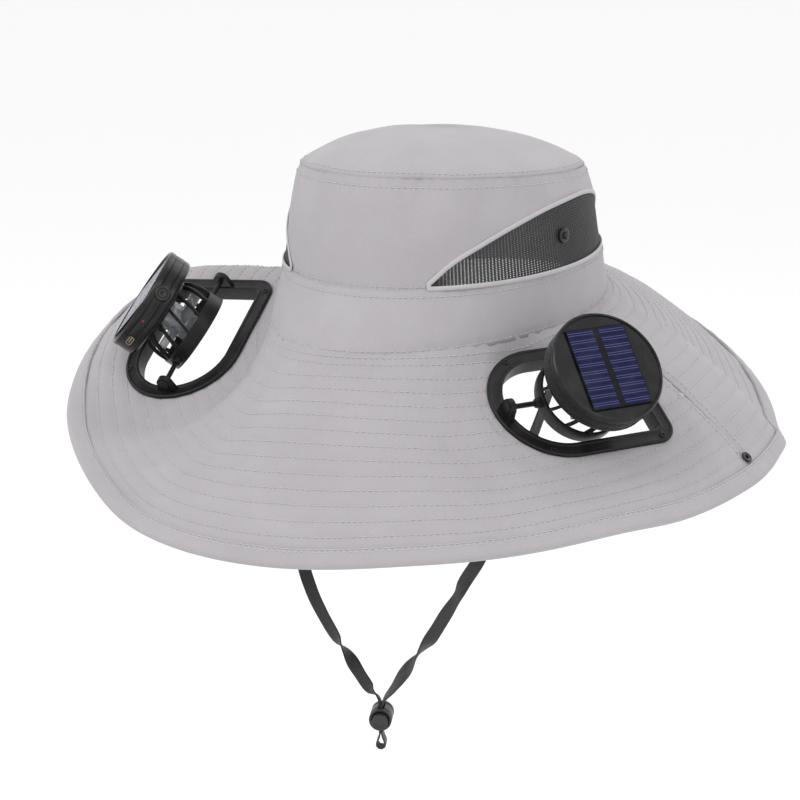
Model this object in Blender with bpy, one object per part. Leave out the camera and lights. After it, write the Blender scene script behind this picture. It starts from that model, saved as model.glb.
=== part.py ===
"""Wide-brimmed cloth sun hat with two solar fans set in the brim and a chin strap with a cord lock.

Metres, +Z up, the hat's front towards -Y. The origin is the middle of the crown's opening, on the head.
Each piece of cloth, plastic and metal is an object of its own. The tilting parts of a fan have their
origin on the hinge axis, and the button and plunger have theirs on their slide axes.
"""

import math

import bmesh
import bpy
from mathutils import Matrix, Vector

MM = 0.001
GAP = 0.3 * MM
# How far a cutter reaches past a thin wall
CUT_REACH = 6.0 * MM

# Cloth
CLOTH = 1.5 * MM
BRIM_CLOTH = 1.7 * MM
NET_THICKNESS = 0.9 * MM

# Crown: a row for each seam ring, base to tip. Lean is the rise per metre towards the back.
CROWN_COLUMNS = ("name", "half_width", "half_depth", "height", "lean", "shift_back")
CROWN_RINGS = (
    ("base", 84.5 * MM, 109.0 * MM, 0.0, 0.077, 0.0),
    ("band_top", 85.5 * MM, 91.0 * MM, 28.7 * MM, 0.077, 0.0),
    ("tip_seam", 75.2 * MM, 83.5 * MM, 75.7 * MM, -0.021, 0.0),
)
BASE_RING, BAND_TOP_RING, TIP_SEAM_RING = 0, 1, 2
CROWN_SECTIONS = 36
WALL_BULGE = 2.6 * MM
DOME_HEIGHT = 19.0 * MM
DOME_POWER = 2.6
DOME_FORWARD = 0.22
TIP_EDGE_ROUNDING = 0.995
TIP_RING_SHARES = (TIP_EDGE_ROUNDING, 0.9, 0.72, 0.42)
DENT_COLUMNS = ("azimuth", "depth", "half_span")
TIP_DENTS = (
    (30.0, 2.6 * MM, 7.0),
    (56.0, 2.2 * MM, 6.5),
)
DENT_REACH = 0.3

# Vent windows in the crown's wall, the same on both sides: the leaf outline from its front corner
WINDOW_COLUMNS = ("azimuth", "top_share")
WINDOW_OUTLINE = (
    (32.0, 0.06),
    (40.0, 0.24),
    (50.0, 0.39),
    (62.0, 0.54),
    (76.0, 0.67),
    (90.0, 0.74),
    (104.0, 0.76),
    (117.0, 0.70),
    (129.0, 0.55),
    (138.0, 0.30),
)
WINDOW_BOTTOM_SHARE = 0.012
NET_COLUMNS = 9
NET_ROWS = 3
NET_HOLE_SHARE = 0.62
NET_EDGE_GAP = 0.4 * MM

# Brim: a row for each section round it. Slopes are in degrees below level.
BRIM_WIDTH = 129.0 * MM
BRIM_START = 0.9 * MM
BRIM_COLUMNS = ("azimuth", "slope_at_crown", "slope_midway", "slope_at_edge")
BRIM_SECTIONS = (
    (-175.0, 5.3, 11.5, 41.3),
    (-150.0, -2.0, -3.0, 15.0),
    (-120.0, 9.0, 15.0, 20.0),
    (-100.0, 3.7, 8.0, 14.0),
    (-85.0, -4.0, 7.0, 24.0),
    (-72.0, 2.0, 11.6, 32.0),
    (-60.0, 32.8, 15.9, 21.0),
    (-48.0, 54.3, 23.2, 4.0),
    (-36.0, 62.0, 30.8, -4.0),
    (-24.0, 60.0, 36.6, 4.0),
    (-10.0, 43.1, 42.4, 25.0),
    (10.0, 27.0, 44.4, 44.0),
    (30.0, 35.9, 36.9, 36.8),
    (48.0, 54.0, 31.6, 27.5),
    (62.0, 57.0, 26.2, 31.8),
    (76.0, 44.2, 29.6, 42.8),
    (92.0, 30.3, 35.7, 40.7),
    (110.0, 19.8, 32.8, 60.7),
    (135.0, 30.8, 47.8, 33.0),
)
SLOPE_STEPS = 10
FRONT_SEAM_LEFT = -89.1
FRONT_SEAM_RIGHT = 95.8
SEAM_GAP_DEGREES = 0.22
# The soft valley from the crown's left front down to the edge
VALLEY_AT_CROWN = -6.0
VALLEY_AT_EDGE = -24.0
VALLEY_HALF_SPAN = 7.0
VALLEY_DEPTH = 1.5 * MM
FRONT_COLUMNS = 30
BACK_COLUMNS = 16
BRIM_ROWS = 8
BINDING_WIDTH = 8.0 * MM
BINDING_CLOTH = 0.9 * MM
# The tape lies on twisted cloth, so it stands a little further off it
BINDING_GAP = 0.55 * MM

# Fan seats: where the flange lies on the brim, which way its round end points, and the tilt shown
SEAT_COLUMNS = ("side", "x", "y", "z", "lean_x", "lean_y", "heading", "tilt", "tilt_sign", "turned")
FAN_SEATS = (
    ("left", -124.8 * MM, -67.2 * MM, -26.2 * MM, 0.05, -0.68, -80.0, 42.0, 1.0, 0.0),
    ("right", 110.8 * MM, -42.5 * MM, -32.8 * MM, 0.66, -0.35, -115.5, 15.0, -1.0, 180.0),
)
SEAT_FLAT_MARGIN = 9.0 * MM
SEAT_BLEND = 30.0 * MM
SEAM_FREE_SHARE = 0.03

FLANGE_LENGTH = 94.0 * MM
FLANGE_WIDTH = 71.0 * MM
FLANGE_RIM = 8.0 * MM
FLANGE_THICKNESS = 2.0 * MM
FLANGE_BEVEL = 1.0 * MM
FLANGE_CORNER = 11.0 * MM
COLLAR_WALL = 1.6 * MM
COLLAR_DEPTH = 7.0 * MM
CLAMP_INSET = 4.0 * MM
CLAMP_THICKNESS = 1.8 * MM
OPENING_CUT_REACH = 30.0 * MM
OUTLINE_ROUND_STEPS = 12
OUTLINE_CORNER_STEPS = 3

HINGE_HEIGHT = 7.0 * MM
HINGE_OFFSET = 3.2 * MM
EAR_THICKNESS = 3.0 * MM
EAR_WIDTH = 11.0 * MM
EAR_ABOVE_HINGE = 4.5 * MM
EAR_INSET = 0.6 * MM
PIN_RADIUS = 1.4 * MM
PIN_STEPS = 12

BAND_RADIUS = 23.4 * MM
BAND_WALL = 1.6 * MM
BAND_HEIGHT = 8.4 * MM
RIB_COUNT = 12
RIB_WIDTH = 1.8 * MM
RIB_DEPTH = 2.4 * MM
RIB_SWEEP = 16.0
# The rib's line from the band up to the plate: radius and height above the hinge
RIB_LINE = (
    (21.9 * MM, 2.8 * MM),
    (21.7 * MM, 9.0 * MM),
    (20.3 * MM, 15.6 * MM),
    (17.6 * MM, 20.1 * MM),
)
PLATE_RADIUS = 19.2 * MM
PLATE_BOTTOM = 19.0 * MM
PLATE_TOP = 21.2 * MM
AXLE_RADIUS = 1.5 * MM
AXLE_BOTTOM = 9.0 * MM

PUCK_RADIUS = 30.25 * MM
PUCK_THICKNESS = 13.5 * MM
PUCK_CHAMFER = 1.2 * MM
PUCK_RIM = 1.6 * MM
PUCK_RECESS = 1.3 * MM
PANEL_LENGTH = 44.0 * MM
PANEL_WIDTH = 34.0 * MM
PANEL_THICKNESS = 0.8 * MM
ROUND_STEPS = 24
PUCK_STEPS = 36
SMALL_STEPS = 12

ROTOR_HUB_RADIUS = 8.0 * MM
ROTOR_RADIUS = 19.4 * MM
ROTOR_BOTTOM = 0.6 * MM
ROTOR_TOP = 18.2 * MM
ROTOR_BORE_BOTTOM = 8.0 * MM
HUB_STEPS = 20
BLADE_COUNT = 5
BLADE_THICKNESS = 1.2 * MM
BLADE_TWIST = 46.0
BLADE_STEPS = 3

BUTTON_ANGLE = 68.0
BUTTON_RADIUS = 4.3 * MM
BUTTON_PROUD = 0.9 * MM
BUTTON_DEPTH = 2.4 * MM
BUTTON_TRAVEL = 0.7 * MM
USB_ANGLE = 0.0
USB_WIDTH = 8.4 * MM
USB_HEIGHT = 3.2 * MM
USB_DEPTH = 3.6 * MM
USB_WALL = 0.5 * MM

# Snaps
SNAP_SHARE = 0.908
SNAP_RADIUS = 3.2 * MM
SNAP_TUBE_RADIUS = 1.9 * MM
SNAP_BORE = 1.2 * MM
SNAP_CAP = 1.0 * MM
SNAP_LIFT = 0.95 * MM
SNAP_STEPS = 12
STUD_CELL_COLUMN = 4
STUD_CELL_ROW = 1
STUD_RADIUS = 4.0 * MM
STUD_SHANK = 1.3 * MM

# Chin strap: a flat ribbon sewn inside the crown at both sides, through the lock and folded below it
STRAP_WIDTH = 7.4 * MM
STRAP_THICKNESS = 1.0 * MM
STRAP_POINTS = 68
STRAP_RUN_GAP = 1.4 * MM
LOCK_CENTRE = (-2.0 * MM, -55.0 * MM, -229.0 * MM)
LOCK_TURN = 30.0
LOCK_RADIUS = 6.4 * MM
LOCK_FRONT = 6.6 * MM
LOCK_BACK = 8.6 * MM
LOCK_WALL = 1.4 * MM
LOCK_STEPS = 20
PLUNGER_RADIUS = 4.6 * MM
PLUNGER_PROUD = 3.2 * MM
PLUNGER_TRAVEL = 2.4 * MM
STRAP_SLOT = 3.9 * MM
LOCK_MOUTH = 7.8 * MM
TAIL_NECK = 10.5 * MM
TAIL_LENGTH = 18.5 * MM
TAIL_BULB = 2.5 * MM
# Half of the strap, from its sewn end to the lock's top: out, forward and down, and the ribbon's turn
STRAP_COLUMNS = ("out", "forward", "down", "turn")
STRAP_LEFT = (
    (81.9 * MM, 2.0 * MM, -7.0 * MM, 90.0),
    (81.9 * MM, 2.0 * MM, 1.0 * MM, 90.0),
    (80.2 * MM, 7.0 * MM, 26.0 * MM, 88.0),
    (76.6 * MM, 20.0 * MM, 62.0 * MM, 80.0),
    (71.0 * MM, 37.0 * MM, 105.0 * MM, 62.0),
    (61.0 * MM, 50.0 * MM, 150.0 * MM, 32.0),
    (52.0 * MM, 54.0 * MM, 165.0 * MM, 20.0),
    (43.5 * MM, 55.0 * MM, 177.0 * MM, 8.0),
    (33.0 * MM, 55.0 * MM, 190.0 * MM, -8.0),
    (26.5 * MM, 55.0 * MM, 196.0 * MM, -78.0),
    (19.5 * MM, 55.0 * MM, 204.5 * MM, -160.0),
    (10.5 * MM, 55.0 * MM, 214.0 * MM, -178.0),
    (4.6 * MM, 55.0 * MM, 217.5 * MM, -226.0),
)
STRAP_RIGHT = (
    (81.9 * MM, 2.0 * MM, -7.0 * MM, -270.0),
    (81.9 * MM, 2.0 * MM, 1.0 * MM, -270.0),
    (80.2 * MM, 7.0 * MM, 24.0 * MM, -272.0),
    (76.2 * MM, 21.0 * MM, 56.0 * MM, -280.0),
    (70.5 * MM, 39.0 * MM, 92.0 * MM, -298.0),
    (61.4 * MM, 53.0 * MM, 125.0 * MM, -332.0),
    (53.5 * MM, 55.0 * MM, 139.0 * MM, -350.0),
    (49.0 * MM, 55.0 * MM, 148.0 * MM, -384.0),
    (41.0 * MM, 55.0 * MM, 160.5 * MM, -356.0),
    (33.0 * MM, 55.0 * MM, 173.5 * MM, -348.0),
    (25.5 * MM, 55.0 * MM, 184.0 * MM, -274.0),
    (15.5 * MM, 55.0 * MM, 197.5 * MM, -192.0),
    (6.5 * MM, 55.0 * MM, 210.0 * MM, -215.0),
)

COLOURS = {
    "cloth": (0.50, 0.48, 0.50),
    "net": (0.02, 0.02, 0.022),
    "plastic": (0.025, 0.025, 0.028),
    "panel": (0.03, 0.035, 0.12),
    "clear": (0.75, 0.80, 0.85),
    "metal": (0.55, 0.50, 0.40),
    "strap": (0.015, 0.015, 0.016),
}


def clear_scene():
    for obj in list(bpy.data.objects):
        bpy.data.objects.remove(obj)


def column(columns, rows, name):
    place = columns.index(name)
    return [row[place] for row in rows]


def seat_value(seat, name):
    return seat[SEAT_COLUMNS.index(name)]


def smooth_step(value):
    value = min(max(value, 0.0), 1.0)
    return value * value * (3.0 - 2.0 * value)


def bell(distance, half_span):
    return math.exp(-((distance / half_span) ** 2))


def turn_between(azimuth, other):
    """The signed turn in degrees from one azimuth to another, within half a turn."""
    return (azimuth - other + 180.0) % 360.0 - 180.0


def hermite(start, end, start_slope, end_slope, span, along):
    share = along / span
    rest = 1.0 - share
    from_start = (1.0 + 2.0 * share) * rest * rest * start + share * rest * rest * span * start_slope
    from_end = share * share * (3.0 - 2.0 * share) * end - share * share * rest * span * end_slope
    return from_start + from_end


def closed_curve(knots, values):
    """A smooth function of azimuth through the values, closed after a whole turn."""
    count = len(knots)

    def slope(place):
        before = (place - 1) % count
        after = (place + 1) % count
        span = (knots[after] - knots[before]) % 360.0
        return (values[after] - values[before]) / span

    def value_at(azimuth):
        for place in range(count):
            after = (place + 1) % count
            span = (knots[after] - knots[place]) % 360.0
            along = (azimuth - knots[place]) % 360.0
            if along <= span:
                return hermite(values[place], values[after], slope(place), slope(after), span, along)
        return values[0]

    return value_at


def open_curve(knots, values):
    """A smooth function through the values, level beyond its ends."""
    last = len(knots) - 1

    def slope(place):
        before = max(place - 1, 0)
        after = min(place + 1, last)
        return (values[after] - values[before]) / (knots[after] - knots[before])

    def value_at(where):
        where = min(max(where, knots[0]), knots[last])
        for place in range(last):
            if where <= knots[place + 1]:
                span = knots[place + 1] - knots[place]
                along = where - knots[place]
                ends = (values[place], values[place + 1])
                return hermite(ends[0], ends[1], slope(place), slope(place + 1), span, along)
        return values[last]

    return value_at


def material_of(name):
    found = bpy.data.materials.get(name)
    if found:
        return found
    material = bpy.data.materials.new(name)
    material.use_nodes = True
    shader = material.node_tree.nodes["Principled BSDF"]
    shader.inputs["Base Color"].default_value = (*COLOURS[name.split("_")[0]], 1.0)
    shader.inputs["Roughness"].default_value = 0.5
    return material


def new_object(name, vertices, faces, material, origin=None, smooth=True):
    """A mesh object whose origin is at the given world matrix, with vertices given in the world."""
    mesh = bpy.data.meshes.new(name)
    frame = origin or Matrix.Identity(4)
    back = frame.inverted()
    mesh.from_pydata([back @ Vector(vertex) for vertex in vertices], [], faces)
    mesh.validate()
    mesh.materials.append(material_of(material))
    for polygon in mesh.polygons:
        polygon.use_smooth = smooth
    obj = bpy.data.objects.new(name, mesh)
    bpy.context.scene.collection.objects.link(obj)
    obj.matrix_world = frame
    return obj


def grid_faces(rows, columns, wraps, first=0, flip=False):
    """Quads between neighbouring rows of a grid numbered row by row."""
    faces = []
    reach = columns if wraps else columns - 1
    for row in range(rows - 1):
        for place in range(reach):
            after = (place + 1) % columns
            low = first + row * columns
            high = low + columns
            face = (low + place, low + after, high + after, high + place)
            faces.append(face[::-1] if flip else face)
    return faces


def edge_faces(near, far, wraps):
    """Quads that join two lines of vertex numbers."""
    count = len(near)
    reach = count if wraps else count - 1
    faces = []
    for place in range(reach):
        after = (place + 1) % count
        faces.append((near[place], far[place], far[after], near[after]))
    return faces


def shell(name, outer, inner, wraps, material):
    """A closed sheet between two grids of points. Rows run outwards and columns anticlockwise from above."""
    rows = len(outer)
    columns = len(outer[0])
    points = [point for row in outer for point in row] + [point for row in inner for point in row]
    back = rows * columns
    faces = grid_faces(rows, columns, wraps, 0, True)
    faces += grid_faces(rows, columns, wraps, back, False)
    first_outer = list(range(columns))
    last_outer = [(rows - 1) * columns + place for place in range(columns)]
    faces += edge_faces(first_outer, [back + place for place in first_outer], wraps)
    last_inner = [back + place for place in last_outer]
    faces += [face[::-1] for face in edge_faces(last_outer, last_inner, wraps)]
    if not wraps:
        left = [row * columns for row in range(rows)]
        right = [row * columns + columns - 1 for row in range(rows)]
        faces += [face[::-1] for face in edge_faces(left, [back + place for place in left], False)]
        faces += edge_faces(right, [back + place for place in right], False)
    obj = new_object(name, points, faces, material)
    make_consistent(obj)
    return obj


def face_outwards(obj):
    """Turns every face of a closed mesh the right way round, by the sign of its volume."""
    mesh = obj.data
    mesh.calc_loop_triangles()
    volume = 0.0
    for triangle in mesh.loop_triangles:
        corners = [mesh.vertices[index].co for index in triangle.vertices]
        volume += corners[0].dot(corners[1].cross(corners[2]))
    if volume < 0.0:
        mesh.flip_normals()


def ring_of_loops(name, loops, material, origin=None, smooth=True):
    """A closed ring through loops of equal length, the last loop joined back to the first."""
    count = len(loops[0])
    points = [point for loop in loops for point in loop]
    faces = grid_faces(len(loops), count, True)
    last = (len(loops) - 1) * count
    faces += edge_faces([last + place for place in range(count)], list(range(count)), True)
    obj = new_object(name, points, faces, material, origin, smooth)
    make_consistent(obj)
    return obj


def make_consistent(obj):
    """Makes neighbouring faces agree, then turns them all outwards."""
    work = bmesh.new()
    work.from_mesh(obj.data)
    bmesh.ops.recalc_face_normals(work, faces=work.faces)
    work.to_mesh(obj.data)
    work.free()
    face_outwards(obj)


def lathe(name, profile, material, frame, origin=None, steps=ROUND_STEPS):
    """A turned piece. The profile is (radius, height) and starts and ends on the axis."""
    points = [frame @ Vector((0.0, 0.0, profile[0][1]))]
    for radius, height in profile[1:-1]:
        for step in range(steps):
            angle = 2.0 * math.pi * step / steps
            points.append(frame @ Vector((radius * math.cos(angle), radius * math.sin(angle), height)))
    points.append(frame @ Vector((0.0, 0.0, profile[-1][1])))
    last = len(points) - 1
    faces = [(0, 1 + (step + 1) % steps, 1 + step) for step in range(steps)]
    faces += grid_faces(len(profile) - 2, steps, True, 1)
    top = last - steps
    faces += [(last, top + step, top + (step + 1) % steps) for step in range(steps)]
    obj = new_object(name, points, faces, material, origin)
    make_consistent(obj)
    return obj


def turned_ring(name, profile, material, frame, origin=None, steps=ROUND_STEPS):
    """A turned ring with an open middle. The profile is a closed line of (radius, height)."""
    loops = []
    for radius, height in profile:
        loop = []
        for step in range(steps):
            angle = 2.0 * math.pi * step / steps
            loop.append(frame @ Vector((radius * math.cos(angle), radius * math.sin(angle), height)))
        loops.append(loop)
    return ring_of_loops(name, loops, material, origin)


def box(name, low, high, material, frame, origin=None):
    """A block with square edges between two corners in the frame."""
    corners = [(x, y, z) for z in (low[2], high[2]) for y in (low[1], high[1]) for x in (low[0], high[0])]
    faces = [(0, 2, 3, 1), (4, 5, 7, 6), (0, 1, 5, 4), (2, 6, 7, 3), (0, 4, 6, 2), (1, 3, 7, 5)]
    obj = new_object(name, [frame @ Vector(corner) for corner in corners], faces, material, origin, False)
    face_outwards(obj)
    return obj


def combine(obj, other, operation):
    """Applies a Boolean to the object's own mesh and removes the other object."""
    modifier = obj.modifiers.new(operation.lower(), "BOOLEAN")
    modifier.operation = operation
    modifier.solver = "EXACT"
    modifier.use_self = operation == "UNION"
    modifier.object = other
    other.hide_render = True
    other.display_type = "WIRE"
    bpy.context.view_layer.update()
    graph = bpy.context.evaluated_depsgraph_get()
    result = bpy.data.meshes.new_from_object(obj.evaluated_get(graph))
    old = obj.data
    obj.modifiers.clear()
    obj.data = result
    result.name = obj.name
    bpy.data.meshes.remove(old)
    bpy.data.objects.remove(other)


# The crown

def ring_value(ring, name):
    return CROWN_RINGS[ring][CROWN_COLUMNS.index(name)]


def ring_point(ring, azimuth, inset=0.0):
    """A point of a seam ring, moved in by the inset."""
    angle = math.radians(azimuth)
    x = (ring_value(ring, "half_width") - inset) * math.sin(angle)
    y = -(ring_value(ring, "half_depth") - inset) * math.cos(angle)
    z = ring_value(ring, "height") + ring_value(ring, "lean") * y
    return Vector((x, y + ring_value(ring, "shift_back"), z))


def dent_at(azimuth, share):
    """How far the dents by the tip seam push the cloth in, at a share of the wall's height."""
    total = 0.0
    for middle, depth, half_span in TIP_DENTS:
        across = bell(turn_between(azimuth, middle), half_span)
        total += depth * across * bell(1.0 - share, DENT_REACH)
    return total


def wall_point(azimuth, share, inset=0.0):
    """The crown's wall between the band seam at share 0 and the tip seam at share 1."""
    low = ring_point(BAND_TOP_RING, azimuth, inset)
    high = ring_point(TIP_SEAM_RING, azimuth, inset)
    point = low.lerp(high, share)
    outward = Vector((point.x, point.y, 0.0)).normalized()
    bulge = WALL_BULGE * 4.0 * share * (1.0 - share) * share
    return point + outward * (bulge - dent_at(azimuth, share))


def band_point(azimuth, share, inset=0.0):
    """The crown's lower band between the base and the band seam, with a slight flare."""
    low = ring_point(BASE_RING, azimuth, inset)
    high = ring_point(BAND_TOP_RING, azimuth, inset)
    return low.lerp(high, share)


def tip_point(azimuth, share, inset=0.0):
    """The crown's domed tip, from its middle at share 0 to the tip seam at share 1."""
    edge = ring_point(TIP_SEAM_RING, azimuth, 0.0)
    dent = dent_at(azimuth, 1.0) * share ** 6
    outward = Vector((edge.x, edge.y, 0.0)).normalized()
    middle_height = ring_value(TIP_SEAM_RING, "height")
    forward = -DOME_FORWARD * DOME_HEIGHT * share * math.cos(math.radians(azimuth)) * (share - 1.0)
    rise = DOME_HEIGHT * (1.0 - share ** DOME_POWER) + forward
    point = Vector((edge.x * share, edge.y * share, middle_height + (edge.z - middle_height) * share))
    return point - outward * dent + Vector((0.0, 0.0, rise - inset))


def round_grid(point_at, azimuths, shares, inset=0.0):
    return [[point_at(azimuth, share, inset) for azimuth in azimuths] for share in shares]


def even_azimuths(count):
    return [-180.0 + 360.0 * place / count for place in range(count)]


CROWN_AZIMUTHS = even_azimuths(CROWN_SECTIONS)


def build_crown_band():
    start = GAP / ring_value(BAND_TOP_RING, "height")
    shares = (start, 1.0 - start)
    outer = round_grid(band_point, CROWN_AZIMUTHS, shares)
    inner = round_grid(band_point, CROWN_AZIMUTHS, shares, CLOTH)
    shell("crown_band", outer, inner, True, "cloth")


def window_span():
    azimuths = column(WINDOW_COLUMNS, WINDOW_OUTLINE, "azimuth")
    return azimuths[0], azimuths[-1]


def window_grid(side, columns, rows, radial, shrink):
    """Points over a vent window: columns from its front corner, rows from its lower edge up."""
    azimuths = column(WINDOW_COLUMNS, WINDOW_OUTLINE, "azimuth")
    tops = open_curve(azimuths, column(WINDOW_COLUMNS, WINDOW_OUTLINE, "top_share"))
    first, last = window_span()
    wall_height = ring_value(TIP_SEAM_RING, "height") - ring_value(BAND_TOP_RING, "height")
    share_gap = shrink / wall_height
    degree_gap = math.degrees(shrink / ring_value(BAND_TOP_RING, "half_width"))
    grid = []
    for row in range(rows + 1):
        line = []
        for place in range(columns + 1):
            azimuth = first + degree_gap + (last - first - 2.0 * degree_gap) * place / columns
            low = WINDOW_BOTTOM_SHARE + share_gap
            high = tops(azimuth) - share_gap
            share = low + (high - low) * row / rows
            point = wall_point(side * azimuth, share)
            outward = Vector((point.x, point.y, 0.0)).normalized()
            line.append(point + outward * radial)
        grid.append(line if side > 0 else line[::-1])
    return grid


def build_window_cutter(side):
    outer = window_grid(side, NET_COLUMNS, NET_ROWS, CUT_REACH, 0.0)
    inner = window_grid(side, NET_COLUMNS, NET_ROWS, -CUT_REACH, 0.0)
    cutter = shell("window_cutter", outer, inner, False, "cloth")
    make_consistent(cutter)
    return cutter


def build_crown_wall():
    start = GAP / (ring_value(TIP_SEAM_RING, "height") - ring_value(BAND_TOP_RING, "height"))
    shares = (start, 0.33, 0.67, 1.0 - start)
    outer = round_grid(wall_point, CROWN_AZIMUTHS, shares)
    inner = round_grid(wall_point, CROWN_AZIMUTHS, shares, CLOTH)
    wall = shell("crown_wall", outer, inner, True, "cloth")
    make_consistent(wall)
    for side in (-1.0, 1.0):
        combine(wall, build_window_cutter(side), "DIFFERENCE")


def build_crown_tip():
    """The tip is a dome closed in the middle, so its innermost ring joins to one point on each side."""
    shares = TIP_RING_SHARES
    lift = Vector((0.0, 0.0, GAP + CLOTH))
    points = []
    faces = []
    count = len(CROWN_AZIMUTHS)
    for inset in (0.0, CLOTH):
        first = len(points)
        for share in shares:
            points += [tip_point(azimuth, share, inset) + lift for azimuth in CROWN_AZIMUTHS]
        points.append(tip_point(0.0, 0.0, inset) + lift)
        faces += grid_faces(len(shares), count, True, first)
        pole = len(points) - 1
        inmost = first + (len(shares) - 1) * count
        faces += [(inmost + place, inmost + (place + 1) % count, pole) for place in range(count)]
    second = len(shares) * count + 1
    faces += edge_faces(list(range(count)), [second + place for place in range(count)], True)
    tip = new_object("crown_tip", points, faces, "cloth")
    make_consistent(tip)


def build_net(side):
    """The vent's net: a curved sheet cut through in rows of openings."""
    outer = window_grid(side, NET_COLUMNS, NET_ROWS, -0.2 * MM, NET_EDGE_GAP)
    inner = window_grid(side, NET_COLUMNS, NET_ROWS, -0.2 * MM - NET_THICKNESS, NET_EDGE_GAP)
    rows = NET_ROWS + 1
    columns = NET_COLUMNS + 1
    points = [point for row in outer for point in row] + [point for row in inner for point in row]
    back = rows * columns
    faces = []
    for row in range(NET_ROWS):
        for place in range(NET_COLUMNS):
            low = row * columns + place
            cell = (low, low + 1, low + columns + 1, low + columns)
            faces += pierced_cell(points, cell, back)
    outline = [place for place in range(columns)]
    outline += [row * columns + columns - 1 for row in range(1, rows)]
    outline += [(rows - 1) * columns + place for place in range(columns - 2, -1, -1)]
    outline += [row * columns for row in range(rows - 2, 0, -1)]
    faces += edge_faces(outline, [back + place for place in outline], True)
    net = new_object("net_" + ("right" if side > 0 else "left"), points, faces, "net", None, False)
    make_consistent(net)


def pierced_cell(points, cell, back):
    """The faces of one cell with an opening through it. It adds the opening's corners to the points."""
    rings = []
    for start in (0, back):
        corners = [Vector(points[start + index]) for index in cell]
        middle = sum(corners, Vector()) / 4.0
        first = len(points)
        points += [middle.lerp(corner, NET_HOLE_SHARE) for corner in corners]
        rings.append([first + place for place in range(4)])
    faces = []
    for place in range(4):
        after = (place + 1) % 4
        faces.append((cell[place], cell[after], rings[0][after], rings[0][place]))
        faces.append((back + cell[after], back + cell[place], rings[1][place], rings[1][after]))
        faces.append((rings[0][place], rings[0][after], rings[1][after], rings[1][place]))
    return faces


# The fan seats

def seat_frame(seat):
    """The seat's frame: x towards the flange's round end, z out of the brim, origin on the cloth."""
    up = Vector((seat_value(seat, "lean_x"), seat_value(seat, "lean_y"), 1.0)).normalized()
    angle = math.radians(seat_value(seat, "heading"))
    along = Vector((math.cos(angle), math.sin(angle), 0.0))
    along = (along - up * along.dot(up)).normalized()
    across = up.cross(along)
    frame = Matrix((along, across, up)).transposed().to_4x4()
    frame.translation = Vector((seat_value(seat, "x"), seat_value(seat, "y"), seat_value(seat, "z")))
    return frame


SEAT_FRAMES = [seat_frame(seat) for seat in FAN_SEATS]


def distance_outside(point):
    """How far a point of the seat's plane lies outside the flange's outline, roughly."""
    radius = FLANGE_WIDTH / 2.0
    front = FLANGE_LENGTH / 2.0 - radius
    back = -FLANGE_LENGTH / 2.0
    if point.x > front:
        return max(math.hypot(point.x - front, point.y) - radius, 0.0)
    beside = max(abs(point.y) - radius, 0.0)
    behind = max(back - point.x, 0.0)
    return math.hypot(beside, behind)


def settle_on_seats(point, share):
    """Draws a point of the brim onto the plane of a fan seat near it, but not at the crown's seam."""
    for frame in SEAT_FRAMES:
        local = frame.inverted() @ point
        outside = distance_outside(local)
        weight = 1.0 - smooth_step((outside - SEAT_FLAT_MARGIN) / SEAT_BLEND)
        if weight > 0.0 and abs(local.z) < SEAT_BLEND:
            weight *= smooth_step(share / SEAM_FREE_SHARE)
            local.z *= 1.0 - weight
            point = frame @ local
    return point


# The brim

def brim_slope(name):
    azimuths = column(BRIM_COLUMNS, BRIM_SECTIONS, "azimuth")
    return closed_curve(azimuths, column(BRIM_COLUMNS, BRIM_SECTIONS, name))


SLOPE_AT_CROWN = brim_slope("slope_at_crown")
SLOPE_MIDWAY = brim_slope("slope_midway")
SLOPE_AT_EDGE = brim_slope("slope_at_edge")


def brim_point(azimuth, share):
    """The brim's upper face, from the crown seam at share 0 to the edge at share 1."""
    slopes = [math.radians(curve(azimuth)) for curve in (SLOPE_AT_CROWN, SLOPE_MIDWAY, SLOPE_AT_EDGE)]
    step = share * BRIM_WIDTH / SLOPE_STEPS
    reach = 0.0
    drop = 0.0
    for place in range(SLOPE_STEPS):
        where = 2.0 * share * (place + 0.5) / SLOPE_STEPS
        half = int(where >= 1.0)
        slope = slopes[half] + (slopes[half + 1] - slopes[half]) * (where - half)
        reach += math.cos(slope) * step
        drop += math.sin(slope) * step
    angle = math.radians(azimuth)
    across = math.sin(angle) / ring_value(BASE_RING, "half_width")
    forward = math.cos(angle) / ring_value(BASE_RING, "half_depth")
    outward = Vector((across, -forward, 0.0)).normalized()
    point = ring_point(BASE_RING, azimuth) + outward * reach - Vector((0.0, 0.0, drop))
    middle = VALLEY_AT_CROWN + (VALLEY_AT_EDGE - VALLEY_AT_CROWN) * share
    valley = VALLEY_DEPTH * bell(turn_between(azimuth, middle), VALLEY_HALF_SPAN)
    valley *= smooth_step(share * 4.0) * (1.0 - smooth_step((share - 0.6) * 2.5))
    return settle_on_seats(point - Vector((0.0, 0.0, valley)), share)


def brim_up(azimuth, share):
    """The direction out of the brim's upper face."""
    reach = 0.01
    along = brim_point(azimuth + 1.0, share) - brim_point(azimuth - 1.0, share)
    low = max(share - reach, 0.0)
    out = brim_point(azimuth, low + 2.0 * reach) - brim_point(azimuth, low)
    up = along.cross(out)
    return up.normalized() if up.z > 0.0 else -up.normalized()


def brim_shares():
    """The rows of the brim's grid: even steps to the binding's inner edge, then the brim's edge."""
    start = BRIM_START / BRIM_WIDTH
    bound = 1.0 - BINDING_WIDTH / BRIM_WIDTH
    even = [start + (bound - start) * row / BRIM_ROWS for row in range(BRIM_ROWS + 1)]
    return even[:1] + [SEAM_FREE_SHARE] + even[1:] + [1.0]


def span_azimuths(first, last, count):
    return [first + (last - first) * place / count for place in range(count + 1)]


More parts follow.
